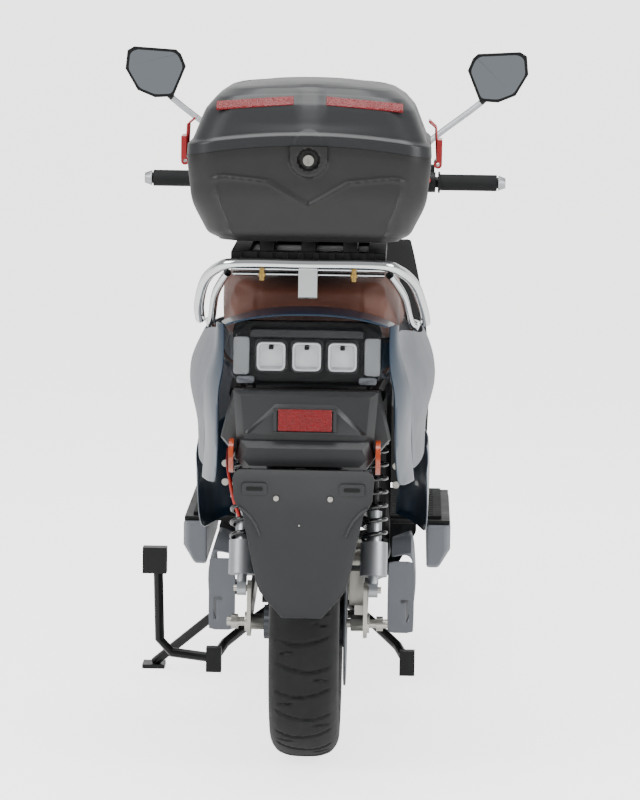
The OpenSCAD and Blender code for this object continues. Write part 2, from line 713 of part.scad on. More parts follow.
module plate_bracket() {
    half = bracket_w / 2;
    board_y = rear_y + 3;
    shape = [[106, 0], [118, -15], [115, -51], [101, -73], [77, -189], [62, -217], [33, -250]];
    outline = concat([for (p = shape) [p[0] * half / 122, p[1]]],
        [for (i = [1 : len(shape)]) let (p = shape[len(shape) - i]) [-p[0] * half / 122, p[1]]]);
    color("#4a4c4f") difference() {
        union() {
            translate([0, board_y + 5, tail_z]) rotate([90, 0, 0])
                linear_extrude(5) polygon(outline);
            both_sides() translate([slot_x * half / 122 - 19, rear_y, slot_z - 8])
                cube([38, 8, 16]);
            translate([-64, board_y + 4, tail_z - 29]) cube([128, 70, 20]);
        }
        for (side = [-1, 1]) {
            translate([side * slot_x * half / 122 - slot_l / 2 + slot_r, rear_y - 1, slot_z - slot_r])
                cube([slot_l - 2 * slot_r, 12, 2 * slot_r]);
            for (e = [-1, 1]) translate([side * slot_x * half / 122 + e * (slot_l / 2 - slot_r),
                rear_y - 1, slot_z]) rotate([-90, 0, 0]) cylinder(r = slot_r, h = 12);
            translate([side * 45, rear_y - 1, tail_z - 48]) rotate([-90, 0, 0])
                cylinder(r = 3, h = 12);
        }
        translate([-50, board_y + 16, tail_z - 37]) cube([100, 46, 24]);
    }
}

// Arched guard over the rear wheel, clear of it at full travel
module inner_mudguard() {
    r = rear_tyre_r + 14;
    half = rear_tyre_w / 2 + 8;
    color("#232426") skin([for (a = [22 : 9 : 121])
        let (y = r * cos(a), z = rear_axle_z + rear_travel + r * sin(a), k = 1 - 14 / r)
        [[-half, y * k, rear_axle_z + rear_travel + (z - rear_axle_z - rear_travel) * k],
            [-half + 8, y, z], [half - 8, y, z],
            [half, y * k, rear_axle_z + rear_travel + (z - rear_axle_z - rear_travel) * k]]],
        panel_t);
}

// ---------------------------------------------------------------- rack and top case

rail_tube_r = 9;

// Bright hoop round the tail with a second bar inside it and a carrier frame
module grab_rail() {
    side = [[0, -252, rack_z - 3], [118, -252, rack_z - 3], [152, -226, rack_z - 14],
        [178, -150, rack_z - 44], [194, -40, rack_z - 96], [200, 96, tail_z + 200]];
    inner = [[137, -206, rack_z - 24], [160, -130, rack_z - 66], [172, -30, tail_z + 216],
        [180, 62, tail_z + 196]];
    color("#d9dcde") both_sides() {
        bar_along(curve(side), rail_tube_r, 10);
        bar_along(curve(inner), 7, 8);
        bar_along([[186, 94, tail_z + 201], [158, 104, tail_z + 130],
            [rail_rear_x, 100, seat_rail_z + rail_r + 2]], 7, 8);
    }
    color("#c9ccd0") {
        for (y = [-228, -206]) rod_x(0, y, rack_z - 14 - (y + 228) / 2, 3.5, 2 * 128);
        for (x = [-46, 46]) translate([x - 8, -232, rack_z - 13]) cube([16, 320, 6]);
        translate([-16, -246, rack_z - 62]) cube([32, 4, 52]);
        translate([-16, -246, rack_z - 62]) cube([32, 60, 4]);
    }
}

// Ribbed plate that the case clips on, standing on the carrier bars
module rack_plate() {
    color("#202123") {
        difference() {
            translate([-130, -236, rack_z - 6.6]) cube([260, 310, 22]);
            for (x = [-104 : 26 : 104]) translate([x - 9, -237, rack_z + 2]) cube([18, 6, 14]);
            translate([-100, -210, rack_z + 2]) cube([200, 260, 22]);
        }
        for (x = [-70, 0, 70]) translate([x - 12, -230, rack_z + 15.4]) cube([24, 290, 18]);
    }
}

// Plan ring of the case at height z, drawn in by inset, with rounded corners
function case_ring(z, inset, r) =
    flat_ring(z, case_w / 2 - inset, case_y0 + inset * 1.1, case_y1 - inset, r, 4);

// Hollow tub from outer rings and their offset inner rings, open at the last ring
module tub(rings, floor_t, wall) {
    n = len(rings[0]);
    function inward(p, c) = let (d = [p[0] - c[0], p[1] - c[1], 0])
        [c[0] + d[0] * (1 - wall / max(abs(d[0]), wall * 2)),
            c[1] + d[1] * (1 - wall / max(abs(d[1]), wall * 2)), p[2]];
    c = [0, (case_y0 + case_y1) / 2];
    inner = [for (i = [0 : len(rings) - 1]) [for (p = rings[len(rings) - 1 - i])
        inward(p, c) + [0, 0, i == len(rings) - 1 ? floor_t : 0]]];
    loft(concat(rings, inner));
}

hinge_r = 4;
lid_hinge_y = case_y1 + 11;
lid_hinge_z = rim_z - 2;
knuckle_r = 8;

module case_shell() {
    color("#46484b") {
        tub([case_ring(case_z, 50, 40), case_ring(case_z + 10, 34, 44),
            case_ring(case_z + case_h * 0.45, 8, 46), case_ring(rim_z - 16, 0, 48),
            case_ring(rim_z, 0, 48)], 5, case_t);
        both_sides() difference() {
            union() {
                rod_x(96, lid_hinge_y, lid_hinge_z, knuckle_r, 30);
                translate([81, case_y1 - 1, lid_hinge_z - 30]) cube([30, 8, 28]);
            }
            rod_x(96, lid_hinge_y, lid_hinge_z, hinge_r, 32);
        }
        rod_x(0, lid_hinge_y, lid_hinge_z, hinge_r, 222);
        both_sides() {
            rod_y(case_w / 2 + 12, -100, latch_z - 2, 3, 86);
            for (y = [-143, -65]) translate([case_w / 2 - 4, y, latch_z - 8]) cube([21, 8, 12]);
        }
    }
}

// Domed lid with its rim, hollow from below
module case_lid() {
    z0 = rim_z + gap;
    color("#3f4144") {
        mirror([0, 0, 1]) tub([for (s = [[lid_h, 96, 60], [lid_h * 0.9, 60, 60],
            [lid_h * 0.62, 28, 56], [lid_h * 0.3, 14, 52], [lid_h * 0.2, 0, 48], [0, 0, 48]])
            case_ring(-z0 - s[0], s[1], s[2])], 4, case_t);
        both_sides() difference() {
            union() {
                rod_x(60, lid_hinge_y, lid_hinge_z, knuckle_r, 38);
                translate([41, case_y1 - 1, z0 + 1]) cube([38, 12, 10]);
                translate([41, lid_hinge_y - 3, lid_hinge_z + 4]) cube([38, 6, 9]);
            }
            rod_x(60, lid_hinge_y, lid_hinge_z, hinge_r + fit, 40);
        }
    }
}

// Two red strips let into the back of the lid
module lid_reflectors() {
    z = rim_z + lid_h + 1.4;
    color("#a8141b") both_sides() loft([
        for (s = [[12, 0], [34, 1], [58, 3], [84, 6]])
            let (x = 12 + s[0] * 1.35, y = case_y0 + 32.6 - s[1] * 0.4)
            [[x, y, z - 34 - s[1]], [x, y - 12, z - 44 - s[1]], [x, y - 16, z - 42 - s[1]],
                [x, y - 3, z - 26 - s[1]]]]);
}

latch_z = rim_z - 34;

// Red side latch with its wire bail, on the case's right side
module latch() {
    x = case_w / 2 + 4;
    difference() {
        union() {
            rod_y(x + 8, -100, latch_z - 2, 7, 60);
            translate([x + 6, -132, latch_z]) cube([9, 64, 40]);
        }
        rod_y(x + 8, -100, latch_z - 2, 3 + fit, 70);
    }
    for (y = [-126, -74]) bar_along([[x + 6.5, y, latch_z + 8], [x + 4, y, rim_z + 26],
        [x - 7, y, rim_z + 36]], 2, 8);
    rod_y(x - 7, -100, rim_z + 36, 2, 56);
}

module rod_y(x, y, z, r, l) {
    translate([x, y - l / 2, z]) rotate([-90, 0, 0]) cylinder(r = r, h = l);
}

module latch_right() { color("#b4242a") latch(); }
module latch_left() { color("#b4242a") mirror([1, 0, 0]) latch(); }

lock_z = rim_z - 20;

module case_lock() {
    color("#c3c5c7") difference() {
        translate([0, case_y0 - 1, lock_z]) rotate([90, 0, 0]) cylinder(r = 9, h = 8);
        translate([-1, case_y0 - 10, lock_z - 5]) cube([2, 4, 10]);
    }
}

// ---------------------------------------------------------------- seat

seat_y0 = 160;
seat_y1 = 640;
seat_hinge_z = seat_top - 76;

// Pan under the rider's cushion with its front hinge lug
module seat_pan() {
    color("#222326") {
        loft([for (s = [[0, 0.86], [80, 0.92], [300, 0.74], [seat_y1 - seat_y0 - 20, 0.5]])
            let (h = seat_w / 2 * s[1])
            round_ring(seat_y0 + s[0], h, seat_top - 84, seat_top - 72, 5, 2)]);
        difference() {
            union() {
                rod_x(0, seat_y1 + 4, seat_hinge_z - 6, 9, 90);
                translate([-45, seat_y1 - 24, seat_top - 84]) cube([90, 28, 10]);
            }
            rod_x(0, seat_y1 + 4, seat_hinge_z - 6, 5 + fit, 100);
        }
    }
}

module seat_cushion() {
    color("#7a4a36") loft([for (s = [[0, 0.9, 4], [70, 1, 2], [200, 0.92, -8], [330, 0.74, 0],
        [430, 0.56, 4], [seat_y1 - seat_y0 - 6, 0.36, -24]])
        round_ring(seat_y0 + s[0], seat_w / 2 * s[1], seat_top - 71.5, seat_top + s[2], 26, 4)]);
}

// Fixed pad for the passenger, under the carrier
module pillion_pad() {
    color("#7a4a36") loft([for (s = [[-170, 0.62, 26, 44], [-140, 0.84, 4, 60],
        [-60, 0.97, -20, 68], [60, 1, -40, 62], [seat_y0 - 8, 0.96, -44, 44]])
        round_ring(s[0], (seat_w / 2 - 8) * s[1], seat_top - 20 + s[2] - 6, seat_top + s[3], 22, 4)]);
}

// ---------------------------------------------------------------- steering and handlebar

bar_half = bar_w / 2;
grip_x = bar_half - grip_l;

// Stem, lower crown and the two fork tubes
module steering_stem() {
    color("#2b2c2e") at_steering() {
        difference() {
            union() {
                translate([0, 0, crown_s + 4]) cylinder(r = stem_r, h = clamp_s - crown_s);
                hull() both_sides() translate([leg_x, fork_offset, crown_s])
                    cylinder(r = leg_r + 9, h = crown_h);
                translate([-26, -22, crown_s]) cube([52, 50, crown_h]);
                translate([0, 0, head_s + head_l + 1]) cylinder(r = 24, h = 12);
            }
            both_sides() translate([leg_x, fork_offset, crown_s - 1])
                cylinder(r = leg_r + 0.01, h = crown_h + 2);
        }
        both_sides() translate([leg_x, fork_offset, 120]) cylinder(r = leg_r, h = crown_s - 90);
    }
}

// Bent bar in a clamp on top of the stem
module handlebar() {
    c = from_steering([0, 0, clamp_s + 18]);
    half = concat(curve([[0, c[1], c[2]], [60, c[1], c[2]], [100, c[1] - 10, c[2] + 14],
        [150, grip_y + 20, grip_z - 4], [grip_x - 34, grip_y, grip_z]]),
        [[bar_half + 2, grip_y, grip_z]]);
    color("#1f2022") {
        both_sides() bar_along(half, bar_r, 12);
        at_steering() difference() {
            translate([-30, -20, clamp_s - 22]) cube([60, 40, 52]);
            translate([0, 0, clamp_s - 30]) cylinder(r = stem_r, h = 36);
        }
        both_sides() translate([bar_half + 2, grip_y, grip_z]) rotate([0, 90, 0])
            cylinder(r1 = 15, r2 = 10, h = 14);
    }
}

module bar_cowl() {
    c = from_steering([0, 0, clamp_s + 18]);
    color("#1f3340") skin([for (s = [[-74, 0.55, 0.3], [-40, 1, 0.9], [10, 1.06, 1], [60, 0.9, 0.8],
        [92, 0.5, 0.2]])
        [for (a = [0 : 30 : 180]) [118 * s[1] * cos(a), c[1] + s[0],
            c[2] + 42 + 44 * s[2] * sin(a) - (a == 0 || a == 180 ? 6 : 0)]]], panel_t);
    color("#101214") translate([-58, c[1] - 66, c[2] + 54]) rotate([38, 0, 0])
        cube([116, 66, 10]);
}

// Switch housings beside both grips, with their lever brackets and brake reservoirs
module switch_pods() {
    color("#2a2b2e") both_sides() difference() {
        union() {
            rod_x(grip_x - 24, grip_y, grip_z, 20, 40);
            translate([grip_x - 44, grip_y, grip_z - 9]) cube([40, 44, 18]);
            translate([grip_x - 50, grip_y + 18, grip_z - 2]) cube([44, 30, 34]);
        }
        rod_x(grip_x - 24, grip_y, grip_z, bar_r + 0.01, 60);
        translate([grip_x - 27, grip_y + 28, grip_z - 6.4]) cube([60, 40, 12.8]);
        translate([lever_pin[0], lever_pin[1], grip_z - 30]) cylinder(r = 3 + fit, h = 90);
        translate([mirror_pin[0], mirror_pin[1], grip_z + 14]) cylinder(r = 5 + fit, h = 30);
    }
}

module grip() {
    difference() {
        union() {
            rod_x(grip_x + grip_l / 2, grip_y, grip_z, grip_r, grip_l - 2);
            rod_x(grip_x + 3, grip_y, grip_z, grip_r + 5, 4);
        }
        rod_x(grip_x + grip_l / 2, grip_y, grip_z, bar_r + fit, grip_l + 20);
    }
}

module left_grip() { color("#18191b") mirror([1, 0, 0]) grip(); }
module throttle_grip() { color("#18191b") grip(); }

lever_pin = [grip_x - 14, grip_y + 40];
mirror_pin = [grip_x - 30, grip_y + 32];

// Brake lever on its vertical pin, with a ball at the tip
module lever() {
    color("#8e9094") difference() {
        union() {
            translate([lever_pin[0], lever_pin[1], grip_z - 5]) cylinder(r = 9, h = 10);
            hull() {
                translate([lever_pin[0], lever_pin[1], grip_z - 5]) cylinder(r = 7, h = 10);
                translate([lever_pin[0] + 56, lever_pin[1] + 8, grip_z - 5]) cylinder(r = 6, h = 10);
            }
            hull() {
                translate([lever_pin[0] + 56, lever_pin[1] + 8, grip_z - 5]) cylinder(r = 6, h = 10);
                translate([bar_half - 6, lever_pin[1] + 4, grip_z - 4]) cylinder(r = 5, h = 8);
            }
            translate([bar_half - 6, lever_pin[1] + 4, grip_z]) sphere(r = 7);
        }
        translate([lever_pin[0], lever_pin[1], grip_z - 8]) cylinder(r = 3, h = 16);
    }
    color("#8e9094") translate([lever_pin[0], lever_pin[1], grip_z - 12]) cylinder(r = 3, h = 24);
}

module lever_right() { lever(); }
module lever_left() { mirror([1, 0, 0]) lever(); }

mirror_in = mirror_w / 2 - 122;
mirror_y = grip_y + 10;

// Mirror head on its stem: the stem turns in the pod, the head rides with it
module mirror_head() {
    w = mirror_w / 2 - mirror_in;
    shape = [[0.22, 0.02], [0.52, 0.0], [0.80, 0.14], [1, 0.56], [0.97, 0.92], [0.86, 1.0],
        [0.18, 0.95], [0.10, 0.86], [0.02, 0.62]];
    color("#1d1e20") loft([for (s = [[0, 1], [14, 0.98], [30, 0.55]])
        [for (p = shape) [mirror_in + w * (0.5 + (p[0] - 0.5) * s[1]), mirror_y + s[0],
            mirror_top - 100 + 100 * (0.5 + (p[1] - 0.5) * s[1])]]]);
    color("#9a9da1") {
        translate([mirror_pin[0], mirror_pin[1], grip_z + 14.5]) cylinder(r = 5, h = 24);
        translate([mirror_pin[0], mirror_pin[1], grip_z + 32.6]) cylinder(r = 9, h = 14);
        bar_along(curve([[mirror_pin[0], mirror_pin[1], grip_z + 40],
            [mirror_pin[0], mirror_pin[1], grip_z + 56],
            [mirror_pin[0] + 20, mirror_y + 24, grip_z + 84],
            [mirror_in + 30, mirror_y + 22, mirror_top - 102],
            [mirror_in + 52, mirror_y + 14, mirror_top - 72]]), 6, 8);
    }
}

module mirror_right() { mirror_head(); }
module mirror_left() { mirror([1, 0, 0]) mirror_head(); }

// ---------------------------------------------------------------- fork and front wheel cover

// Fork sliders with the fixed front axle and the left brake caliper
module fork_sliders() {
    color("#3a3b3e") at_steering() difference() {
        union() {
            both_sides() translate([leg_x, fork_offset, -22])
                cylinder(r = slider_r, h = crown_s - fork_travel - 12);
            rod_x(0, fork_offset, 0, axle_r, fork_track + 2 * slider_r + 16);
            translate([-leg_x - 2, fork_offset - 98, 34]) cube([27, 44, 62]);
            translate([-leg_x - 6, fork_offset - 60, 40]) cube([14, 50, 40]);
        }
        both_sides() translate([leg_x, fork_offset, 60])
            cylinder(r = leg_r + fit, h = crown_s);
        rod_x(-58, fork_offset, 0, 98, 12);
    }
}

module front_mudguard() {
    r = front_tyre_r + 14;
    half = front_tyre_w / 2 + 2;
    color("#1d3240") at_steering() translate([0, fork_offset, 0]) {
        skin([for (a = [-8 : 11 : 168])
            let (k = 1 - 26 / r) [[-half, r * cos(a) * k, r * sin(a) * k],
                [-half + 10, r * cos(a), r * sin(a)], [half - 10, r * cos(a), r * sin(a)],
                [half, r * cos(a) * k, r * sin(a) * k]]], panel_t);
    }
}

// ---------------------------------------------------------------- front body

// Inner shield that faces the rider
module leg_shield() {
    color("#2b2d30") skin([for (s = [[-0.24, 205, 84], [0, 213, 50], [0.35, 216, 4],
            [0.7, 200, 6], [1, 172, 9]])
        let (z = floor_z + 100 + s[0] * 400, y = floor_y1 + 14 - s[0] * 60)
        [for (t = [-1, -0.86, -0.45, 0, 0.45, 0.86, 1])
            [-s[1] * t, y + 30 * pow(abs(t), 3) - s[2], z]]], panel_t);
}

// Painted outer apron in front of the head tube
module front_apron() {
    color("#b9bcbf") skin([for (s = [[0.36, 120, 78], [0.55, 168, 92], [0.75, 176, 84],
        [0.9, 164, 66], [1, 140, 44]])
        let (z = floor_z + 100 + s[0] * 400, y = floor_y1 + 62 - s[0] * 60)
        [for (t = [-1, -0.8, -0.4, 0, 0.4, 0.8, 1])
            [s[1] * t, y + (s[2] + 34) * (1 - t * t), z]]], panel_t);
}

module headlight() {
    z = floor_z + 100 + 0.76 * 400;
    y = floor_y1 + 62 - 0.76 * 60 + 84 + 34;
    color("#d8dde0") translate([0, y + 16, z]) {
        rotate([-90, 0, 0]) cylinder(r = 52, h = 22);
        rotate([-90, 0, 0]) cylinder(r = 44, h = 28);
    }
}

module front_indicators() {
    z = floor_z + 100 + 0.6 * 400;
    y = floor_y1 + 62 - 0.6 * 60;
    color("#d98a1c") both_sides() translate([150, y + 70, z]) rotate([0, 0, -28])
        cube([44, 8, 16], center = true);
}

// ---------------------------------------------------------------- stands

module side_stand() {
    color("#1c1d1f") mirror([1, 0, 0]) {
        difference() {
            union() {
                rod_x(160, side_y, side_z, 15, 18);
                bar_along([[160, side_y + 6, side_z - 8], [200, side_y + 50, side_z - 68],
                    [318, side_y + 138, 10]], 9, 10);
            }
            rod_x(160, side_y, side_z, stand_pin_r + fit, 40);
        }
        translate([298, side_y + 118, 0]) cube([44, 48, 8]);
    }
}

stand_foot = [178, 250, 112];

// Twin-legged stand, folded back under the floor, with its foot lever on the left
module centre_stand() {
    x0 = 66;
    color("#1c1d1f") {
        both_sides() {
            difference() {
                union() {
                    rod_x(x0, stand_y, stand_z, 13, 16);
                    bar_along([[x0, stand_y - 9, stand_z - 4], [x0 + 40, stand_y - 60, stand_z - 24],
                        [stand_foot[0] - 18, stand_foot[1] + 60, stand_foot[2] + 20],
                        [stand_foot[0], stand_foot[1] + 10, stand_foot[2]]], 9, 10);
                }
                rod_x(x0, stand_y, stand_z, stand_pin_r + fit, 30);
            }
            translate([stand_foot[0] - 14, stand_foot[1] - 8, stand_foot[2] - 22])
                cube([28, 20, 46]);
        }
        rod_x(0, stand_y - 44, stand_z - 18, 8, 2 * x0 + 50);
        bar_along([[-stand_foot[0], 256, stand_foot[2] + 2], [-256, 254, stand_foot[2] + 12],
            [-278, 254, stand_foot[2] + 36], [-282, 254, stand_foot[2] + 172]], 9, 10);
        translate([-310, 240, stand_foot[2] + 161]) cube([44, 26, 48]);
    }
}

// ---------------------------------------------------------------- assembly

translate([0, -mid_y, 0]) {
    head_tube();
    down_tube();
    rail_left();
    rail_right();
    cross_tubes();
    battery_pack();
    motor_controller();
    floorboard();
    floor_mat();
    belly_pan();
    front_apron();
    leg_shield();
    headlight();
    front_indicators();
    side_panels_silver();
    lower_side_panels();
    tail_cowl();
    tail_light_housing();
    tail_light_reflectors();
    tail_light_lens();
    plate_shelf();
    rear_reflector();
    side_reflectors();
    plate_bracket();
    inner_mudguard();
    lower_covers();
    footboard_wings();
    grab_rail();
    rack_plate();
    case_shell();
    case_lid();
    lid_reflectors();
    latch_left();
    latch_right();
    case_lock();
    seat_pan();
    seat_cushion();
    pillion_pad();
    steering_stem();
    handlebar();
    bar_cowl();
    switch_pods();
    left_grip();
    throttle_grip();
    lever_left();
    lever_right();
    mirror_left();
    mirror_right();
    fork_sliders();
    front_mudguard();
    front_tyre();
    front_rim();
    swingarm();
    rear_tyre();
    hub_motor();
    shock_bodies();
    shock_rods();
    shock_springs();
    side_stand();
    centre_stand();
}
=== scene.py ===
# %% [markdown]
# # An electric moped scooter with a top case
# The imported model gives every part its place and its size. This lesson dresses that frame: each
# visible part is copied or rebuilt as a finer mesh, given a finish that behaves like the real
# material, and tied to the body that it moves with.

import json
import math

import bmesh
import bpy
from mathutils import Matrix, Vector

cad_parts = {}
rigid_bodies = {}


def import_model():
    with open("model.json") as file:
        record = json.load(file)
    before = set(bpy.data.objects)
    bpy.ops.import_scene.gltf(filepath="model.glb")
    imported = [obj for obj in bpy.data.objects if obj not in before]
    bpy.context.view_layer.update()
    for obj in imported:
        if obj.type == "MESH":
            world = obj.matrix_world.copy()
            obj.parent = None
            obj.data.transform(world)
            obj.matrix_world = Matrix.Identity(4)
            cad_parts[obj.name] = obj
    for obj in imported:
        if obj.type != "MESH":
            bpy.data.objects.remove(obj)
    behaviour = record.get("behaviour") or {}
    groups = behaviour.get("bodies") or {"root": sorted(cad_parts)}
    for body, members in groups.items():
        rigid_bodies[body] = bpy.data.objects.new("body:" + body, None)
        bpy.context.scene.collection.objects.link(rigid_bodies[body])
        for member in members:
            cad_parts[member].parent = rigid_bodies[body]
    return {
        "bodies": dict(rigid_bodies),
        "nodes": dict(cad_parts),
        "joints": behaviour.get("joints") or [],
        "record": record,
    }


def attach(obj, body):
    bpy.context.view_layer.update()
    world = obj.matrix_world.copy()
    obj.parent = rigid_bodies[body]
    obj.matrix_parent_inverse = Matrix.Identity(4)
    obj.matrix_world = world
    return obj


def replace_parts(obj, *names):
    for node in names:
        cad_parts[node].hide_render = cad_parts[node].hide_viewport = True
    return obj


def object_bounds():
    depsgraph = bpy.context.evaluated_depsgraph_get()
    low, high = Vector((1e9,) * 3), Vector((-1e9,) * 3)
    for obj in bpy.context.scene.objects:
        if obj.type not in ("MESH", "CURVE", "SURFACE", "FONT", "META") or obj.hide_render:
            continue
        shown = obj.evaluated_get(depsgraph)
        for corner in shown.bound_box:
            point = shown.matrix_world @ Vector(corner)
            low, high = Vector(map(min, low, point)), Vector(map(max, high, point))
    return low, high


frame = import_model()
nodes = frame["nodes"]
cad_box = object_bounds()
body_of = {n: b for b, names in frame["record"]["behaviour"]["bodies"].items() for n in names}
MM = 0.001
REAR_AXLE = 604.5          # the rear axle lies this far behind the frame's origin, in mm
print("nodes:", len(nodes))
print("box:", [round(v, 3) for v in cad_box[0]], [round(v, 3) for v in cad_box[1]])

# %% [markdown]
# ## Finishes
# A paint, a moulded plastic and a chrome plate differ in how rough they are, how they mirror and
# what pattern breaks them up. Colours are written as sRGB hex codes, the way a paint chart gives
# them, and one function turns them into the linear values that the shader needs. Patterns read
# Object coordinates in metres, so a grain of 0.8 mm is written as 0.8 mm.

# %% Colour and node helpers
def linear(code, alpha=1.0):
    """Linear RGBA of an sRGB hex code such as #2b2c2e."""
    parts = [int(code[i:i + 2], 16) / 255 for i in (1, 3, 5)]
    return tuple(c / 12.92 if c <= 0.04045 else ((c + 0.055) / 1.055) ** 2.4 for c in parts) + (alpha,)


def add(tree, kind, links=None, values=None, **settings):
    """One shader node with its settings, input values and incoming links."""
    node = tree.nodes.new(kind)
    for key, value in settings.items():
        setattr(node, key, value)
    for key, value in (values or {}).items():
        node.inputs[key].default_value = value
    for key, source in (links or {}).items():
        tree.links.new(source, node.inputs[key])
    return node


def per_mm(size):
    """Scale of a pattern whose features are this many millimetres."""
    return 1 / (size * MM)


def finish(name, code, metallic=0.0, roughness=0.5, grain=None, dark=None, patch=60.0, **shader):
    """A Principled finish. grain is (size mm, depth mm); dark is the second colour of a soft
    mottle whose patches are patch mm across."""
    mat = bpy.data.materials.new(name)
    mat.use_nodes = True
    tree = mat.node_tree
    surface = tree.nodes["Principled BSDF"]
    surface.inputs["Base Color"].default_value = linear(code)
    surface.inputs["Metallic"].default_value = metallic
    surface.inputs["Roughness"].default_value = roughness
    for key, value in shader.items():
        surface.inputs[key.replace("_", " ")].default_value = value
    place = add(tree, "ShaderNodeTexCoord")
    mottle = add(tree, "ShaderNodeTexNoise", {"Vector": place.outputs["Object"]},
                 {"Scale": per_mm(patch), "Detail": 4.0, "Roughness": 0.6})
    if dark:
        blend = add(tree, "ShaderNodeMix", {"Factor": mottle.outputs["Fac"]}, data_type="RGBA")
        blend.inputs["A"].default_value = linear(code)
        blend.inputs["B"].default_value = linear(dark)
        tree.links.new(blend.outputs["Result"], surface.inputs["Base Color"])
    spread = add(tree, "ShaderNodeMapRange", {"Value": mottle.outputs["Fac"]},
                 {"To Min": roughness * 0.8, "To Max": min(1.0, roughness * 1.25)})
    tree.links.new(spread.outputs["Result"], surface.inputs["Roughness"])
    if grain:
        size, depth = grain
        pits = add(tree, "ShaderNodeTexNoise", {"Vector": place.outputs["Object"]},
                   {"Scale": per_mm(size), "Detail": 3.0})
        bump = add(tree, "ShaderNodeBump", {"Height": pits.outputs["Fac"]},
                   {"Distance": depth * MM, "Strength": 1.0})
        tree.links.new(bump.outputs["Normal"], surface.inputs["Normal"])
    return mat


print("a grain of 1 mm has the scale", per_mm(1))

# %% [markdown]
# Moulded plastics carry a spark-eroded grain of about a millimetre, drawn a little coarser than
# life so that it shows. The silver paint is satin; the blue paint has a thin clear coat.

# %% Plastics, paints and metals
case_abs = finish("grained_abs_charcoal", "#252424", 0.0, 0.42, grain=(1.6, 0.10),
                  dark="#1f1e1e", Specular_IOR_Level=0.35)
lid_abs = finish("satin_abs_charcoal", "#2c2d2f", 0.0, 0.34, grain=(2.0, 0.05),
                 dark="#262729", Specular_IOR_Level=0.4)
black_abs = finish("grained_abs_black", "#090a0b", 0.0, 0.46, grain=(1.4, 0.12),
                   dark="#060607", Specular_IOR_Level=0.3)
grey_abs = finish("grained_abs_grey", "#28292b", 0.0, 0.4, grain=(1.5, 0.08), dark="#222325")
silver_paint = finish("silver_paint_clear_coated", "#74777d", 0.0, 0.5, dark="#6c6f75",
                      Specular_IOR_Level=0.2, Coat_Weight=0.08, Coat_Roughness=0.2)
blue_paint = finish("petrol_blue_paint_clear_coated", "#0b2a40", 0.1, 0.3, dark="#082236",
                    Specular_IOR_Level=0.35, Coat_Weight=0.4, Coat_Roughness=0.05)
chrome = finish("chrome_plate", "#dfe1e3", 1.0, 0.07, patch=25.0)
steel = finish("zinc_plated_steel", "#b9b8b3", 1.0, 0.32, grain=(0.9, 0.03), dark="#a8a59a")
alloy = finish("cast_aluminium", "#b3b6b9", 0.9, 0.42, grain=(1.2, 0.10), dark="#a4a7aa")
gold_zinc = finish("yellow_zinc_steel", "#b99a5a", 1.0, 0.35, grain=(0.9, 0.04), dark="#a08348")
black_coat = finish("black_powder_coat", "#0a0b0c", 0.0, 0.36, grain=(0.8, 0.06),
                    dark="#060708", Specular_IOR_Level=0.3)
rubber = finish("moulded_rubber", "#0f1011", 0.0, 0.7, grain=(0.7, 0.10), dark="#151617",
                Specular_IOR_Level=0.3)
tyre_rubber = finish("tyre_rubber", "#0b0c0c", 0.0, 0.58, grain=(1.1, 0.10),
                     dark="#070808", patch=30.0, Specular_IOR_Level=0.3)
spring_coat = finish("glossy_spring_coat", "#141517", 0.0, 0.22, dark="#101113", Coat_Weight=0.6)
dark_alloy = finish("dark_cast_alloy", "#55585c", 0.85, 0.45, grain=(1.1, 0.08), dark="#4a4d51")
red_abs = finish("red_gloss_abs", "#a91d22", 0.0, 0.3, dark="#9d191e", Coat_Weight=0.4)
print("moulded, painted and metal finishes:", len(bpy.data.materials))

# %% [markdown]
# The side panels are silver outside and blue where they turn in beside the lamp. They could be
# two meshes cut along the edge. One mesh with a colour edge drawn by height is simpler, and the
# edge stays crisp however coarse the mesh is.

# %% Two colours on the side panels
WIDEST = 250.0             # half-width in mm that the curve of the paint edge counts as 1
PAINT_FRONT = 60.0         # the inner paint ends this far ahead of the rear axle, in mm


def two_tone(name, base, inner, edge):
    """A copy of a paint that changes to a second colour where the panel turns in past the edge,
    a list of (height, half-width) in millimetres."""
    mat = base.copy()
    mat.name = name
    tree = mat.node_tree
    surface = tree.nodes["Principled BSDF"]
    place = add(tree, "ShaderNodeTexCoord")
    split = add(tree, "ShaderNodeSeparateXYZ", {"Vector": place.outputs["Object"]})
    across = add(tree, "ShaderNodeMath", {0: split.outputs["X"]}, operation="ABSOLUTE")
    low, high = edge[0][0], edge[-1][0]
    height = add(tree, "ShaderNodeMapRange", {"Value": split.outputs["Z"]},
                 {"From Min": low * MM, "From Max": high * MM})
    curve = add(tree, "ShaderNodeFloatCurve", {"Value": height.outputs["Result"]})
    points = curve.mapping.curves[0].points
    while len(points) < len(edge):
        points.new(0.5, 0.5)
    for point, (z, x) in zip(points, edge):
        point.location = ((z - low) / (high - low), x / WIDEST)
        point.handle_type = "VECTOR"
    curve.mapping.update()
    limit = add(tree, "ShaderNodeMath", {0: curve.outputs["Value"]}, {1: WIDEST * MM},
                operation="MULTIPLY")
    inside = add(tree, "ShaderNodeMath", {0: across.outputs["Value"], 1: limit.outputs["Value"]},
                 operation="LESS_THAN")
    behind = add(tree, "ShaderNodeMath", {0: split.outputs["Y"]},
                 {1: (PAINT_FRONT - REAR_AXLE) * MM}, operation="LESS_THAN")
    mask = add(tree, "ShaderNodeMath", {0: inside.outputs["Value"], 1: behind.outputs["Value"]},
               operation="MULTIPLY")
    was = surface.inputs["Base Color"].links[0].from_socket
    blend = add(tree, "ShaderNodeMix", {"Factor": mask.outputs["Value"]}, data_type="RGBA")
    tree.links.new(was, blend.inputs["A"])
    blend.inputs["B"].default_value = linear(inner)
    tree.links.new(blend.outputs["Result"], surface.inputs["Base Color"])
    return mat


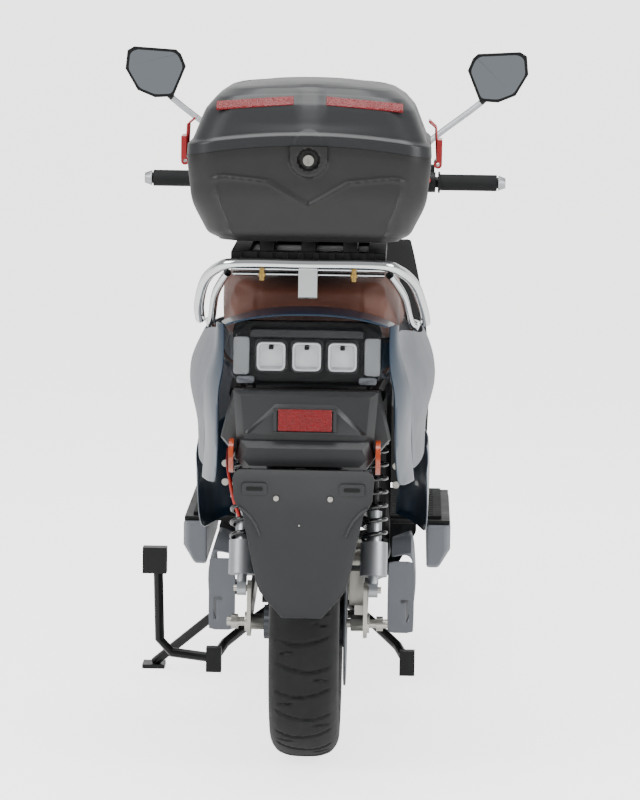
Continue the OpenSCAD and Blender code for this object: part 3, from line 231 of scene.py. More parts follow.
panel_paint = two_tone("silver_and_blue_paint", silver_paint, "#0b2a40",
                       ((505, 172), (582, 167), (621, 162), (640, 155), (656, 158), (691, 162),
                        (746, 156), (774, 146)))
print("plain finishes:", len(bpy.data.materials))

# %% [markdown]
# Lenses are clear or dyed plastic. A reflex reflector is a field of tiny cube corners, here a
# cell pattern 3 mm across that bends the surface. Synthetic leather has a pebbled grain of about
# 1.5 mm and a soft sheen, and glass for a mirror is a bright metal film behind a smooth face.

# %% Lenses, reflectors, leather and mirror glass
def cells(mat, size, depth, feature="F1", metric="EUCLIDEAN"):
    """Bumps a finish with a cell pattern of the given size and depth in millimetres."""
    tree = mat.node_tree
    surface = tree.nodes["Principled BSDF"]
    place = add(tree, "ShaderNodeTexCoord")
    cell = add(tree, "ShaderNodeTexVoronoi", {"Vector": place.outputs["Object"]},
               {"Scale": per_mm(size)}, feature=feature, distance=metric)
    bump = add(tree, "ShaderNodeBump", {"Height": cell.outputs["Distance"]},
               {"Distance": depth * MM, "Strength": 1.0})
    tree.links.new(bump.outputs["Normal"], surface.inputs["Normal"])
    return mat


clear_pc = finish("clear_polycarbonate", "#eef2f4", 0.0, 0.03, IOR=1.58, Transmission_Weight=1.0)
# A thin clear lens shows mostly at its slanting edges, where it throws more light back.
lens_pc = finish("thin_clear_polycarbonate", "#3a4045", 0.0, 0.03, IOR=1.58)
facing = add(lens_pc.node_tree, "ShaderNodeLayerWeight", {}, {"Blend": 0.35})
film = add(lens_pc.node_tree, "ShaderNodeMapRange", {"Value": facing.outputs["Facing"]},
           {"From Min": 0.2, "To Min": 0.03, "To Max": 0.55})
lens_pc.node_tree.links.new(film.outputs["Result"],
                            lens_pc.node_tree.nodes["Principled BSDF"].inputs["Alpha"])
ribbed_pc = cells(finish("prismatic_polycarbonate", "#dfe4e8", 0.0, 0.08, IOR=1.58,
                         Transmission_Weight=0.75), 3.2, 1.2, metric="CHEBYCHEV")
red_reflex = cells(finish("red_reflex_acrylic", "#86070d", 0.0, 0.22, dark="#5c0408", patch=9.0,
                          Specular_IOR_Level=0.3, Coat_Weight=0.25, Coat_Roughness=0.03),
                   3.0, 0.8, metric="MANHATTAN")
amber_reflex = cells(finish("amber_reflex_acrylic", "#b8420c", 0.1, 0.2, dark="#8a2f08", patch=9.0,
                            Coat_Weight=1.0, Coat_Roughness=0.03), 3.0, 0.6)
bright_cup = finish("vacuum_metallised_cup", "#e4e6e8", 0.45, 0.22, dark="#c4c7ca", patch=14.0)
leather = cells(finish("synthetic_leather_brown", "#70412f", 0.0, 0.5, dark="#5c3325", patch=45.0,
                       Sheen_Weight=0.15), 1.7, 0.35)
mirror_glass = finish("silvered_glass", "#b9c0c6", 1.0, 0.03, patch=40.0)
orange_hose = finish("orange_cable_sleeve", "#b8261a", 0.0, 0.45, grain=(0.8, 0.05))
print("all finishes:", len(bpy.data.materials))

# %% [markdown]
# ## Tools of the lesson
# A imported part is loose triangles. A copy with its doubles merged and its triangles joined gives
# back the broad faces, which can be bevelled like a machined part or subdivided like a moulded
# one. Every piece stays at the origin with its place in its mesh.

# %% Mesh helpers
def cad_copy(*names):
    """A bmesh of these CAD nodes with doubles merged and flat triangles joined."""
    bm = bmesh.new()
    for name in names:
        bm.from_mesh(nodes[name].data)
    bmesh.ops.remove_doubles(bm, verts=bm.verts, dist=0.02 * MM)
    bmesh.ops.dissolve_degenerate(bm, edges=bm.edges, dist=0.02 * MM)
    bmesh.ops.join_triangles(bm, faces=bm.faces, angle_face_threshold=math.radians(12),
                             angle_shape_threshold=math.radians(50))
    return bm


def piece(name, bm, mat, body, sharp=35.0, subdivide=0, bevel=0.0, segments=2):
    """Turns a bmesh into a finished piece that rides on a body."""
    mesh = bpy.data.meshes.new(name)
    bm.to_mesh(mesh)
    bm.free()
    obj = bpy.data.objects.new(name, mesh)
    bpy.context.scene.collection.objects.link(obj)
    for m in (mat if isinstance(mat, (list, tuple)) else [mat]):
        mesh.materials.append(m)
    mesh.shade_smooth()
    mesh.set_sharp_from_angle(angle=math.radians(sharp))
    if bevel:
        cut = obj.modifiers.new("edge_round", "BEVEL")
        cut.width, cut.segments = bevel * MM, segments
        cut.limit_method, cut.angle_limit = "ANGLE", math.radians(sharp)
        cut.harden_normals = True
    if subdivide:
        soft = obj.modifiers.new("smooth_form", "SUBSURF")
        soft.levels = soft.render_levels = subdivide
    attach(obj, body)
    return obj


def crease(bm, angle, weight=1.0):
    """Keeps the edges sharper than angle degrees crisp under subdivision."""
    layer = bm.edges.layers.float.get("crease_edge") or bm.edges.layers.float.new("crease_edge")
    for edge in bm.edges:
        if len(edge.link_faces) != 2 or edge.calc_face_angle(0) > math.radians(angle):
            edge[layer] = weight
    return bm
print("mesh helpers ready")

# %% [markdown]
# Bent bars, hoses and coils run along smooth curves. A curve through a few listed points is
# given a round section and turned into a mesh, so that a bar keeps its thickness through a bend.

# %% Places, smooth curves and bars
def at(x, y, z):
    """A point in metres from millimetres, with y counted from the rear axle."""
    return Vector((x, y - REAR_AXLE, z)) * MM


def smooth_line(points, steps=8):
    """Catmull-Rom curve through a list of points, the way a bent bar runs."""
    pts = [Vector(p) for p in points]
    line = []
    for i in range(len(pts) - 1):
        a, b, c = pts[max(i - 1, 0)], pts[i], pts[i + 1]
        d = pts[min(i + 2, len(pts) - 1)]
        for k in range(steps):
            t = k / steps
            line.append(0.5 * (2 * b + (c - a) * t + (2 * a - 5 * b + 4 * c - d) * t * t
                               + (3 * b - a - 3 * c + d) * t ** 3))
    return line + [pts[-1]]


def bars(name, runs, mat, body, closed=False):
    """Round bars or hoses: each run is (radius in mm, points as x, y, z in mm)."""
    bm = bmesh.new()
    for radius, points in runs:
        curve = bpy.data.curves.new("bar_path", "CURVE")
        curve.dimensions, curve.bevel_depth = "3D", radius * MM
        curve.bevel_resolution, curve.use_fill_caps = 4, True
        spline = curve.splines.new("POLY")
        spline.points.add(len(points) - 1)
        for point, place in zip(spline.points, points):
            point.co = at(*place).to_4d()
        spline.use_cyclic_u = closed
        holder = bpy.data.objects.new("bar_path", curve)
        mesh = holder.to_mesh()
        bm.from_mesh(mesh)
        holder.to_mesh_clear()
        bpy.data.objects.remove(holder)
        bpy.data.curves.remove(curve)
    bmesh.ops.recalc_face_normals(bm, faces=bm.faces)
    return piece(name, bm, mat, body, 50.0)


def mirror_x(points):
    """The same points on the other side of the scooter."""
    return [(-x, y, z) for x, y, z in points]
print("mirrored point:", mirror_x([(1, 2, 3)]))

# %% [markdown]
# ## Parts taken from the frame
# Most parts keep the shape that the frame gives them. Metal parts and thick plastics get broken
# edges from a bevel. Thin mouldings are subdivided, with their rims creased to stay crisp.

# %% Machined parts and mouldings
def machined(node, mat, bevel=0.8, sharp=32.0):
    """A CAD part with its edges broken, as turned, cast or bent metal has them."""
    obj = piece(node + "_part", cad_copy(node), mat, body_of[node], sharp, bevel=bevel)
    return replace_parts(obj, node)


def moulded(node, mat, levels=2, fold=48.0, weight=0.85):
    """A CAD shell subdivided to a smooth moulding whose rims stay crisp."""
    obj = piece(node + "_moulding", crease(cad_copy(node), fold, weight), mat, body_of[node],
                60.0, subdivide=levels)
    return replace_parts(obj, node)


done = set()
for node, mat, bevel in (
        ("head_tube", black_coat, 1), ("cross_tubes", black_coat, 0.8), ("battery_pack", black_abs, 3),
        ("motor_controller", alloy, 0.8), ("floorboard", black_abs, 1), ("floor_mat", rubber, 1),
        ("footboard_wings", silver_paint, 5), ("swingarm", steel, 1), ("shock_bodies", alloy, 1),
        ("shock_rods", black_coat, 0.8), ("case_lock", steel, 0.6), ("latch_left", red_abs, 1.5),
        ("latch_right", red_abs, 1.5), ("left_grip", rubber, 1), ("throttle_grip", rubber, 1),
        ("lever_left", alloy, 0.8), ("lever_right", alloy, 0.8), ("switch_pods", black_abs, 3),
        ("handlebar", black_coat, 0.6), ("steering_stem", black_coat, 1.5),
        ("fork_sliders", dark_alloy, 1.5),
        ("rack_plate", black_abs, 1.5), ("seat_pan", black_abs, 1.5), ("side_stand", black_coat, 1),
        ("centre_stand", black_coat, 1), ("hub_motor", dark_alloy, 1.2), ("front_rim", dark_alloy, 1.2),
        ("plate_shelf", grey_abs, 4), ("rear_reflector", red_reflex, 1.2),
        ("tail_light_housing", black_abs, 2),
        ("headlight", clear_pc, 2), ("front_indicators", amber_reflex, 2),
        ("side_reflectors", amber_reflex, 1.5),
        ("down_tube", black_coat, 0),
        ("rail_left", black_coat, 0), ("rail_right", black_coat, 0),
        ("mirror_left", black_abs, 1.5), ("mirror_right", black_abs, 1.5)):
    machined(node, mat, bevel)
    done.add(node)
for node, mat in (
        ("side_panels_silver", panel_paint), ("lower_side_panels", blue_paint),
        ("tail_cowl", blue_paint),
        ("lower_covers", silver_paint), ("belly_pan", black_abs), ("front_apron", silver_paint),
        ("leg_shield", black_abs), ("bar_cowl", blue_paint), ("front_mudguard", blue_paint),
        ("inner_mudguard", black_abs),
        ("tail_light_lens", lens_pc)):
    moulded(node, mat)
    done.add(node)
print("parts dressed:", len(done))

# %% [markdown]
# ## Top case
# The case is drawn as a stack of plan outlines with a flat back between two creases, rounded
# corners and long sides. Its rim dips towards the sides. A raised field with a wide V along its
# top, a boss for the lock and a valley between the two red strips are pressed into the outlines.

# %% Outlines of the top case
CASE_BACK, CASE_FRONT, CASE_HALF, CASE_FOOT, CASE_RIM = -300.0, 100.0, 203.0, 934.0, 1095.0


def rim_height(x):
    """Height of the joint between lid and shell: it falls towards the sides."""
    return CASE_RIM + 3 - 20 * min(abs(x) / CASE_HALF, 1) ** 2


def outline(inset, corner, flat=56, arc=10, side=14):
    """Plan points (x, y) of the case from the middle of its front round by the right."""
    half = CASE_HALF - inset
    back, front = CASE_BACK + 1.1 * inset, CASE_FRONT - inset
    near = flat // 4
    pts = [((half - corner) * i / near, front) for i in range(near)]
    for i in range(arc + 1):
        a = math.radians(90 - 90 * i / arc)
        pts.append((half - corner + corner * math.cos(a), front - corner + corner * math.sin(a)))
    reach = (front - corner) - (back + corner)
    pts += [(half, front - corner - reach * i / side) for i in range(1, side)]
    for i in range(arc + 1):
        a = math.radians(-90 * i / arc)
        pts.append((half - corner + corner * math.cos(a), back + corner + corner * math.sin(a)))
    pts += [((half - corner) * (1 - i / flat), back) for i in range(1, flat)]
    left = [(-x, y) for x, y in reversed(pts[1:])]
    return pts + [(0.0, back)] + left


def ease(value):
    """Smooth step from 0 to 1."""
    value = min(max(value, 0.0), 1.0)
    return value * value * (3 - 2 * value)


def between(table, at_value):
    """Linear value from a table of (key, value) pairs."""
    for (k0, v0), (k1, v1) in zip(table, table[1:]):
        if at_value <= k1:
            t = max(0.0, (at_value - k0) / (k1 - k0))
            if isinstance(v0, tuple):
                return tuple(a + (b - a) * t for a, b in zip(v0, v1))
            return v0 + (v1 - v0) * t
    return table[-1][1]


def smooth_table(table):
    """The same table of (share, (inset, corner)) with its kinks rounded off."""
    return [(v.x, (v.y, v.z)) for v in smooth_line([(t, a, b) for t, (a, b) in table], 6)]
print("points in an outline:", len(outline(0, 48)))

# %% [markdown]
# The back of the shell carries a raised field with a wide V, and a boss for the lock. They could be
# separate solids joined on, but pushing the outlines out by a height in millimetres leaves one
# continuous moulded skin with soft edges.

# %% Relief on the back of the shell
V_EDGE = [(0, 1001), (20, 1012), (66, 1039), (100, 1043), (139, 1047), (152, 1045), (159, 1036)]
FIELD_SIDE = [(934, 124), (950, 130), (1036, 159), (1060, 161)]


def field(x, z):
    """How far the raised field of the shell's back stands out, in mm."""
    top = between(V_EDGE, abs(x)) - z
    side = between(FIELD_SIDE, z) - abs(x)
    edge = min(top, side * 1.4)
    return 4.2 * ease((edge + 2.5) / 5) + 1.6 * ease(1 - abs(edge - 3.5) / 4.5)


def boss(x, z):
    """Raised U of the lock with its round recess."""
    reach = 32 - (math.hypot(x, z - 1077) if z < 1077 else abs(x))
    hollow = 18 - math.hypot(x, z - 1075)
    return 6.5 * ease((reach + 1) / 3) - 9.0 * ease((hollow + 1) / 3)


def shell_bm(rows, profile, press, steps, foot=None):
    """Mesh through plan outlines. rows gives the height for a share and an x, profile gives
    (inset, corner) for a share, press moves the back outward, foot closes one end."""
    bm = bmesh.new()
    rings = []
    for k in range(steps + 1):
        share = k / steps
        ring = []
        for x, y in outline(*profile(share)):
            z = rows(share, x)
            push = press(x, z) * ease((CASE_BACK + 100 - y) / 45)
            ring.append(bm.verts.new(at(x, y - push, z)))
        rings.append(ring)
    count = len(rings[0])
    for low, high in zip(rings, rings[1:]):
        for i in range(count):
            j = (i + 1) % count
            bm.faces.new((low[i], high[i], high[j], low[j]))
    if foot == "low":
        bm.faces.new(rings[0])
    if foot == "high":
        bm.faces.new(list(reversed(rings[-1])))
    bmesh.ops.recalc_face_normals(bm, faces=bm.faces)
    return bm
print("field stands out by", round(field(0, 960), 2), "mm")

# %% [markdown]
# The outlines narrow towards the foot along a profile. They are joined into a skin, closed at the
# foot, and given a 3 mm wall like the real moulding, so the open case is hollow.

# %% Shell of the top case
SHELL_PROFILE = [(0.0, (52, 40)), (0.02, (49, 40)), (0.08, (34, 44)), (0.2, (24, 45)),
                 (0.45, (8, 46)), (0.7, (3, 47)), (0.9, (0, 48)), (1.0, (0, 48))]
SHELL_SMOOTH = smooth_table(SHELL_PROFILE)


def back_of_shell(x, z):
    """How far the shell's back stands out at x and height z, in mm."""
    near = field(x, z)
    lock = boss(x, z) if abs(x) < 42 and z > 1035 else 0.0
    return near + max(lock, -6.0) - 2.5 * ease((abs(x) - 150) / 12) * ease((1060 - z) / 60)


bm = shell_bm(lambda t, x: CASE_FOOT + t * (rim_height(x) - 0.5 - CASE_FOOT),
              lambda t: between(SHELL_SMOOTH, t), back_of_shell, 64, foot="low")
bmesh.ops.solidify(bm, geom=bm.faces[:], thickness=3 * MM)
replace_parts(piece("case_shell_moulding", bm, case_abs, "chassis", 50.0), "case_shell")

# %% [markdown]
# The lid starts with a smooth band, steps in above it, rises up the back and rounds over to the
# top. The valley between the red strips fades out above the band.

# %% Domed lid
LID_PROFILE = [(0.0, (-1, 48)), (0.17, (0, 48)), (0.2, (3, 48)), (0.215, (7, 48)), (0.3, (13, 50)),
               (0.5, (24, 54)), (0.56, (28, 56)), (0.7, (44, 58)), (0.84, (64, 60)),
               (0.93, (84, 60)), (1.0, (112, 60))]
LID_TOP = 1198.0
LID_RISE = [(0.0, 0.0), (0.215, 0.2), (0.3, 0.33), (0.5, 0.58), (0.56, 0.66), (0.7, 0.82),
            (0.84, 0.93), (0.93, 0.975), (1.0, 1.0)]


def lid_height(share, x):
    """Height of the lid's outline at this share of its rise, lower towards the sides."""
    low = rim_height(x)
    top = LID_TOP - 9 * (abs(x) / 140) ** 2 if share > 0.9 else LID_TOP - 5 * (abs(x) / 140) ** 2
    return low + between(LID_RISE, share) * (top - low)


def back_of_lid(x, z):
    """How far the lid's back stands out at x and height z, in mm."""
    rise = ease((z - 1122) / 60)
    valley = 9.0 * (1 - ease((abs(x) - 6) / 26)) * rise
    hollow = 2.5 * math.cos(min(abs(x) / 160, 1) * math.pi / 2) * ease((z - 1116) / 20)
    arc = 1.2 * ease((26 - math.hypot(x, z - 1098)) / 3) if z < 1124 else 0.0
    return arc - valley - hollow


bm = shell_bm(lid_height, lambda t: between(LID_PROFILE, t), back_of_lid, 60, foot="high")
bmesh.ops.solidify(bm, geom=bm.faces[:], thickness=3 * MM)
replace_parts(piece("case_lid_moulding", bm, lid_abs, "lid", 50.0), "case_lid")

# %% [markdown]
# Two red reflector strips are let into the shoulder of the lid, one each side of the valley. Each
# is a grid laid on the lid and thickened, because a box would not follow the curve.

# %% Red strips on the lid
def lid_back(x, z):
    """Depth of the lid's outer back face at x and height z."""
    share = 0.0
    for k in range(401):
        share = k / 400
        if lid_height(share, x) >= z:
            break
    inset = between(LID_PROFILE, share)[0]
    return CASE_BACK + 1.1 * inset - back_of_lid(x, z)


STRIP_IN, STRIP_OUT = 27, 155
STRIP_FOOT = [(STRIP_IN, 1163.5), (STRIP_OUT, 1153)]
STRIP_HEAD = [(STRIP_IN, 1177), (STRIP_OUT, 1167)]


def lid_strip(side):
    """A red strip let into the lid's shoulder, 3 mm thick and standing 1 mm proud."""
    bm = bmesh.new()
    grid = []
    for i in range(25):
        x = STRIP_IN + (STRIP_OUT - STRIP_IN) * i / 24
        low = between(STRIP_FOOT, x)
        high = min(between(STRIP_HEAD, x), lid_height(0.88, x))
        grid.append([bm.verts.new(at(side * x, lid_back(x, low + (high - low) * j / 4) - 1.2,
                                     low + (high - low) * j / 4 + 0.8)) for j in range(5)])
    for i in range(24):
        for j in range(4):
            bm.faces.new((grid[i][j], grid[i + 1][j], grid[i + 1][j + 1], grid[i][j + 1]))
    bmesh.ops.recalc_face_normals(bm, faces=bm.faces)
    if sum(f.normal.y for f in bm.faces) > 0:
        bmesh.ops.reverse_faces(bm, faces=bm.faces)
    bmesh.ops.solidify(bm, geom=bm.faces[:], thickness=3 * MM)
    return bm


for side, word in ((-1, "left"), (1, "right")):
    strip = piece("red_strip_" + word, lid_strip(side), red_reflex, "lid", 40.0, bevel=0.8)
    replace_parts(strip, "lid_reflectors")

# %% [markdown]
# ## Bright hoop, carrier rods and springs
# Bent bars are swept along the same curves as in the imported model, now as smooth round bars.

# %% Grab rail and carrier rods
HOOP = [(0, -252, 897), (118, -252, 897), (152, -226, 886), (178, -150, 856), (194, -40, 804),
        (200, 96, 763)]
INNER_HOOP = [(137, -206, 876), (160, -130, 834), (172, -30, 779), (180, 62, 759)]
hoop = smooth_line([(-x, y, z) for x, y, z in reversed(HOOP)] + HOOP[1:])
runs = [(9.0, hoop)]
for flip in (list, mirror_x):
    runs.append((7.0, flip(smooth_line(INNER_HOOP))))
    runs.append((7.0, flip([(186, 94, 764), (158, 104, 693), (128, 100, 666)])))
bars("bright_hoop", runs, chrome, "chassis")
bars("carrier_rods", [(3.5, [(-128, y, z), (128, y, z)]) for y, z in ((-228, 886), (-206, 875))],
     chrome, "chassis")
print("points along the hoop:", len(hoop))

# %% [markdown]
# Flat straps hold the case plate on the carrier, and a bent strip of chrome steel hangs under the
# hoop. The coil springs are a round wire on a helix along each damper.

# %% Straps, bent bracket and coil springs
def box(bm, lo, hi):
    """A closed box between two corners given in mm, y from the rear axle."""
    made = bmesh.ops.create_cube(bm, size=1.0)["verts"]
    size = Vector(hi) - Vector(lo)
    bmesh.ops.scale(bm, vec=size * MM, verts=made)
    bmesh.ops.translate(bm, vec=at(*((Vector(lo) + Vector(hi)) / 2)), verts=made)
    return made


bm = bmesh.new()
for x in (-46, 46):
    box(bm, (x - 8, -232, 887), (x + 8, 88, 893))
piece("carrier_straps", bm, black_coat, "chassis", bevel=1.0)
bm = bmesh.new()
box(bm, (-16, -246, 838), (16, -242, 890))
box(bm, (-16, -246, 838), (16, -186, 842))
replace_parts(piece("bent_bracket", bm, chrome, "chassis", bevel=1.5, segments=3), "grab_rail")


DAMPER_X = 116.0
LOWER_EYE, UPPER_EYE = (-10, 298), (80, 600)      # y from the rear axle and height, in mm


def coil(side, turns=8, radius=20.0, wire=4.0, foot=88.6, head=262.5):
    """A spring from the cup to the upper plate, along the damper's axis."""
    base, top = Vector((side * DAMPER_X, *LOWER_EYE)), Vector((side * DAMPER_X, *UPPER_EYE))
    axis = (top - base).normalized()
    out = Vector((1, 0, 0))
    fore = axis.cross(out)
    line = []
    for i in range(turns * 24 + 1):
        turn = i / 24
        rise = foot + (head - foot) * min(max((turn - 0.4) / (turns - 0.8), 0), 1)
        a = turn * math.tau
        around = out * radius * math.cos(a) + fore * radius * math.sin(a)
        line.append(tuple(base + axis * rise + around))
    return wire, line


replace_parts(bars("coil_springs", [coil(-1), coil(1)], spring_coat, body_of["shock_springs"]),
            "shock_springs")
print("hoop, carrier and springs done")

# %% [markdown]
# ## Tail lamp
# Three rounded square cups stand in a dark housing under a hood, between strips of cut crystal,
# behind a clear lens. A small black peg closes the top of each cup.

# %% Cups, hood and crystal strips
LAMP_Y = -234.0


def rounded_box(lo, hi, corner, rim=0.0, well=0.0, segments=4):
    """A box with its four edges along y rounded; rim and well cut a dish into its back face."""
    bm = bmesh.new()
    box(bm, lo, hi)
    along = [e for e in bm.edges if abs(e.verts[0].co.y - e.verts[1].co.y) > 1e-6]
    bmesh.ops.bevel(bm, geom=along, offset=corner * MM, segments=segments, profile=0.5,
                    affect="EDGES", material=-1)
    if rim:
        face = min(bm.faces, key=lambda f: f.calc_center_median().y)
        bmesh.ops.inset_individual(bm, faces=[face], thickness=rim * MM)
        bmesh.ops.inset_individual(bm, faces=[face], thickness=rim * 0.9 * MM, depth=-well * MM)
    return bm


for i in (-1, 0, 1):
    x = 60 * i
    cup_bm = rounded_box((x - 24, LAMP_Y - 16, 716), (x + 24, LAMP_Y, 764), 9, rim=3.2, well=11)
    cup = piece(f"bright_cup_{i + 2}", cup_bm, bright_cup, "chassis", 30.0, bevel=0.7)
    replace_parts(cup, "tail_light_reflectors")
    piece(f"cup_peg_{i + 2}", rounded_box((x - 4, LAMP_Y - 17, 752), (x + 4, LAMP_Y - 3, 758), 1.5),
          black_abs, "chassis", 30.0)
    piece(f"cup_surround_{i + 2}", rounded_box((x - 28, LAMP_Y - 2.5, 711), (x + 28, LAMP_Y, 769), 11),
          grey_abs, "chassis", 30.0, bevel=1.0)
piece("lamp_hood", rounded_box((-96, LAMP_Y - 14, 772), (96, LAMP_Y, 786), 5), lid_abs, "chassis",
      30.0, bevel=2.5, segments=3)
for side in (-1, 1):
    lo, hi = sorted((side * 97, side * 124))
    piece(f"crystal_strip_{side + 2}", rounded_box((lo, LAMP_Y - 9, 708), (hi, LAMP_Y, 772), 6),
          ribbed_pc, "chassis", 30.0, bevel=1.5)
    lo, hi = sorted((side * 88, side * 118))
    piece(f"lamp_corner_{side + 2}", rounded_box((lo, LAMP_Y - 10, 693), (hi, LAMP_Y, 705), 4),
          silver_paint, "chassis", 30.0, bevel=1.5)

# %% [markdown]
# ## Shelf and plate bracket
# The red reflector sits in a moulded frame. The bracket has a bevelled rim, two sloping ribs,
# two screws and a pip for the plate.

# %% Reflector frame and plate lamp
FRAME_BARS = (((-53, -300, 655), (53, -292, 658.5)), ((-53, -300, 617), (53, -292, 620)),
              ((-53, -300, 620), (-47, -292, 655)), ((47, -300, 620), (53, -292, 655)))
for k, (lo, hi) in enumerate(FRAME_BARS):
    piece(f"reflector_frame_{k + 1}", rounded_box(lo, hi, 1.2), grey_abs, "chassis", 30.0, bevel=0.8)
piece("plate_lamp", rounded_box((-15, -310, 552), (3, -296, 560), 2.5), black_abs, "chassis", 30.0,
      bevel=0.8)
print("reflector frame bars:", len(FRAME_BARS))

# %% [markdown]
# The number plate is bolted to a moulded bracket. Its outline is one face, inset to slope the rim
# and pulled forward to give the wall. Raised pads with a slot take the plate, and two ribs run in
# from the shoulders.

# %% Bracket, slots, screws and ribs
def disc(bm, place, radius, depth, axis="y", sides=32):
    """A short cylinder centred on a point in mm."""
    turn = {"y": Matrix.Rotation(math.pi / 2, 4, "X"), "x": Matrix.Rotation(math.pi / 2, 4, "Y"),
            "z": Matrix.Identity(4)}[axis]
    bmesh.ops.create_cone(bm, cap_ends=True, segments=sides, radius1=radius * MM,
                          radius2=radius * MM, depth=depth * MM,
                          matrix=Matrix.Translation(at(*place)) @ turn)


SLOT_X = 81                # the plate's two slots stand this far from the middle
BRACKET = [(106, 563), (114, 558), (118, 548), (115, 512), (109, 500), (101, 490), (77, 374),
           (71, 358), (62, 346), (33, 313)]


def plate_holder():
    """The bracket: an outline filled, thickened and given a sloped rim round a flat field."""
    bm = bmesh.new()
    edge = BRACKET + [(-x, z) for x, z in reversed(BRACKET)]
    face = bm.faces.new([bm.verts.new(at(x, -347.6, z)) for x, z in edge])
    bm.normal_update()
    if face.normal.y > 0:
        bmesh.ops.reverse_faces(bm, faces=[face])
    bmesh.ops.inset_individual(bm, faces=[face], thickness=6.5 * MM, depth=-1.6 * MM)
    rim = [e for e in bm.edges if e.is_boundary]
    made = bmesh.ops.extrude_edge_only(bm, edges=rim)["geom"]
    wall = [v for v in made if isinstance(v, bmesh.types.BMVert)]
    bmesh.ops.translate(bm, vec=Vector((0, 4.6, 0)) * MM, verts=wall)
    for side in (-1, 1):
        x = side * SLOT_X
        pad = rounded_box((x - 21, -349.6, 521), (x + 21, -343.5, 541), 5)
        spare = bpy.data.meshes.new("slot_boss")
        pad.to_mesh(spare)
        pad.free()
        bm.from_mesh(spare)
        bpy.data.meshes.remove(spare)
    box(bm, (-64, -343, 534), (64, -273, 554))
    return bm


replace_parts(piece("bracket_moulding", plate_holder(), grey_abs, "chassis", 24.0, bevel=0.9,
                  segments=2), "plate_bracket")
for side in (-1, 1):
    x = side * SLOT_X
    piece(f"bracket_slot_{side + 2}", rounded_box((x - 14, -350, 527.5), (x + 14, -348, 534.5), 3.2),
          black_abs, "chassis", 30.0)
for side in (-1, 1):
    bars(f"carrier_bolt_{side + 2}", [(4.2, [(side * 77, -246, 890), (side * 77, -246, 868)]),
                                      (6.5, [(side * 77, -246, 880), (side * 77, -246, 875)])],
         gold_zinc, "chassis")
bm = bmesh.new()
for x in (-45, 45):
    disc(bm, (x, -348, 515), 4.6, 3)
    disc(bm, (x, -348, 515), 2.8, 4, sides=6)
disc(bm, (-6, -348.4, 470), 1.5, 3)
piece("bracket_screws", bm, steel, "chassis", bevel=0.5)
for side in (-1, 1):
    rib = smooth_line([(side * 106, -347, 500), (side * 94, -347.6, 490), (side * 80, -347.6, 472),
                       (side * 71, -347, 452)], 6)
    bars(f"bracket_rib_{side + 2}", [(2.4, rib)], grey_abs, "chassis")
print("bracket outline points:", 2 * len(BRACKET))

# %% [markdown]
# ## Cables, screws and mirrors
# A red sleeved motor cable runs down on the left, the brake hose on the right. Only the stretch
# in sight is made, as a round bar on a smooth curve that rides on the frame.

# %% Motor cable, brake hose and side screws
bars("motor_cable", [(3.2, smooth_line([(-150, 150, 520), (-147, 70, 508), (-142, 40, 486),
                                        (-134, 24, 452), (-122, 10, 420)]))], orange_hose, "chassis")
bars("rear_brake_hose", [(3.0, smooth_line([(92, 118, 318), (112, 150, 352), (120, 190, 420),
                                            (122, 230, 520)]))], black_abs, "chassis")
bm = bmesh.new()
for side in (-1, 1):
    for y, z in ((84, 505), (92, 470)):
        disc(bm, (side * 152, y, z), 6.5, 3, axis="y")
piece("fender_screws", bm, steel, "chassis", bevel=0.6)
print("side screws, cable and hose made")

# %% [markdown]
# The mirror heads carry silvered glass that faces the rider. A pane is one outline, thickened and
# rounded at its corners. Stems and bar ends are bare alloy, so those faces of the dressed parts
# get a second finish instead of becoming separate pieces.

# %% Mirror glass, start button and bare alloy
HEAD = [(0.22, 0.02), (0.52, 0.0), (0.80, 0.14), (1, 0.56), (0.97, 0.92), (0.86, 1.0), (0.18, 0.95),
        (0.10, 0.86), (0.02, 0.62)]
GRIP_Y = 849.9
for side, word in ((-1, "l"), (1, "r")):
    bm = bmesh.new()
    ring = [bm.verts.new(at(side * (275 + 122 * (0.5 + (u - 0.5) * 0.9)), GRIP_Y + 8.6,
                            1111 + 100 * (0.5 + (v - 0.5) * 0.88))) for u, v in HEAD]
    face = bm.faces.new(ring)
    bmesh.ops.recalc_face_normals(bm, faces=bm.faces)
    if face.normal.y > 0:
        bmesh.ops.reverse_faces(bm, faces=[face])
    bmesh.ops.solidify(bm, geom=[face], thickness=1.6 * MM)
    corners = [e for e in bm.edges if abs(e.verts[0].co.y - e.verts[1].co.y) > 1e-4]
    bmesh.ops.bevel(bm, geom=corners, offset=6 * MM, segments=4, profile=0.5, affect="EDGES",
                    material=-1)
    piece("mirror_pane_" + word, bm, mirror_glass, "mirror_" + word, 30.0, bevel=0.4)
bm = bmesh.new()
disc(bm, (203, GRIP_Y - 21, 958), 5.5, 6)
piece("start_button", bm, red_abs, "steering", bevel=1.2)


def second_finish(name, mat, test):
    """Gives the faces of a piece that pass a test, in mm, another finish."""
    mesh = bpy.data.objects[name].data
    mesh.materials.append(mat)
    for face in mesh.polygons:
        c = face.center / MM
        if test(c.x, c.y + REAR_AXLE, c.z):
            face.material_index = len(mesh.materials) - 1


second_finish("mirror_left_part", alloy, lambda x, y, z: z < 1110)
second_finish("mirror_right_part", alloy, lambda x, y, z: z < 1110)
second_finish("handlebar_part", alloy, lambda x, y, z: abs(x) > 341)
print("mirror outline points:", len(HEAD))

# %% [markdown]
# ## Tyres
# A tyre is one profile spun round the axle. The tread is cut with curved grooves that climb from
# the left edge to a peak and fall to the right, then the other way round, with a short hook at
# each shoulder between them. One repeat is about 100 mm long.

# %% Tyres with cut grooves
RIM_R = 152.0
REAR_R, REAR_WIDTH = 236, 120
FRONT_R, FRONT_WIDTH = 229, 110
WHEELBASE = 1330


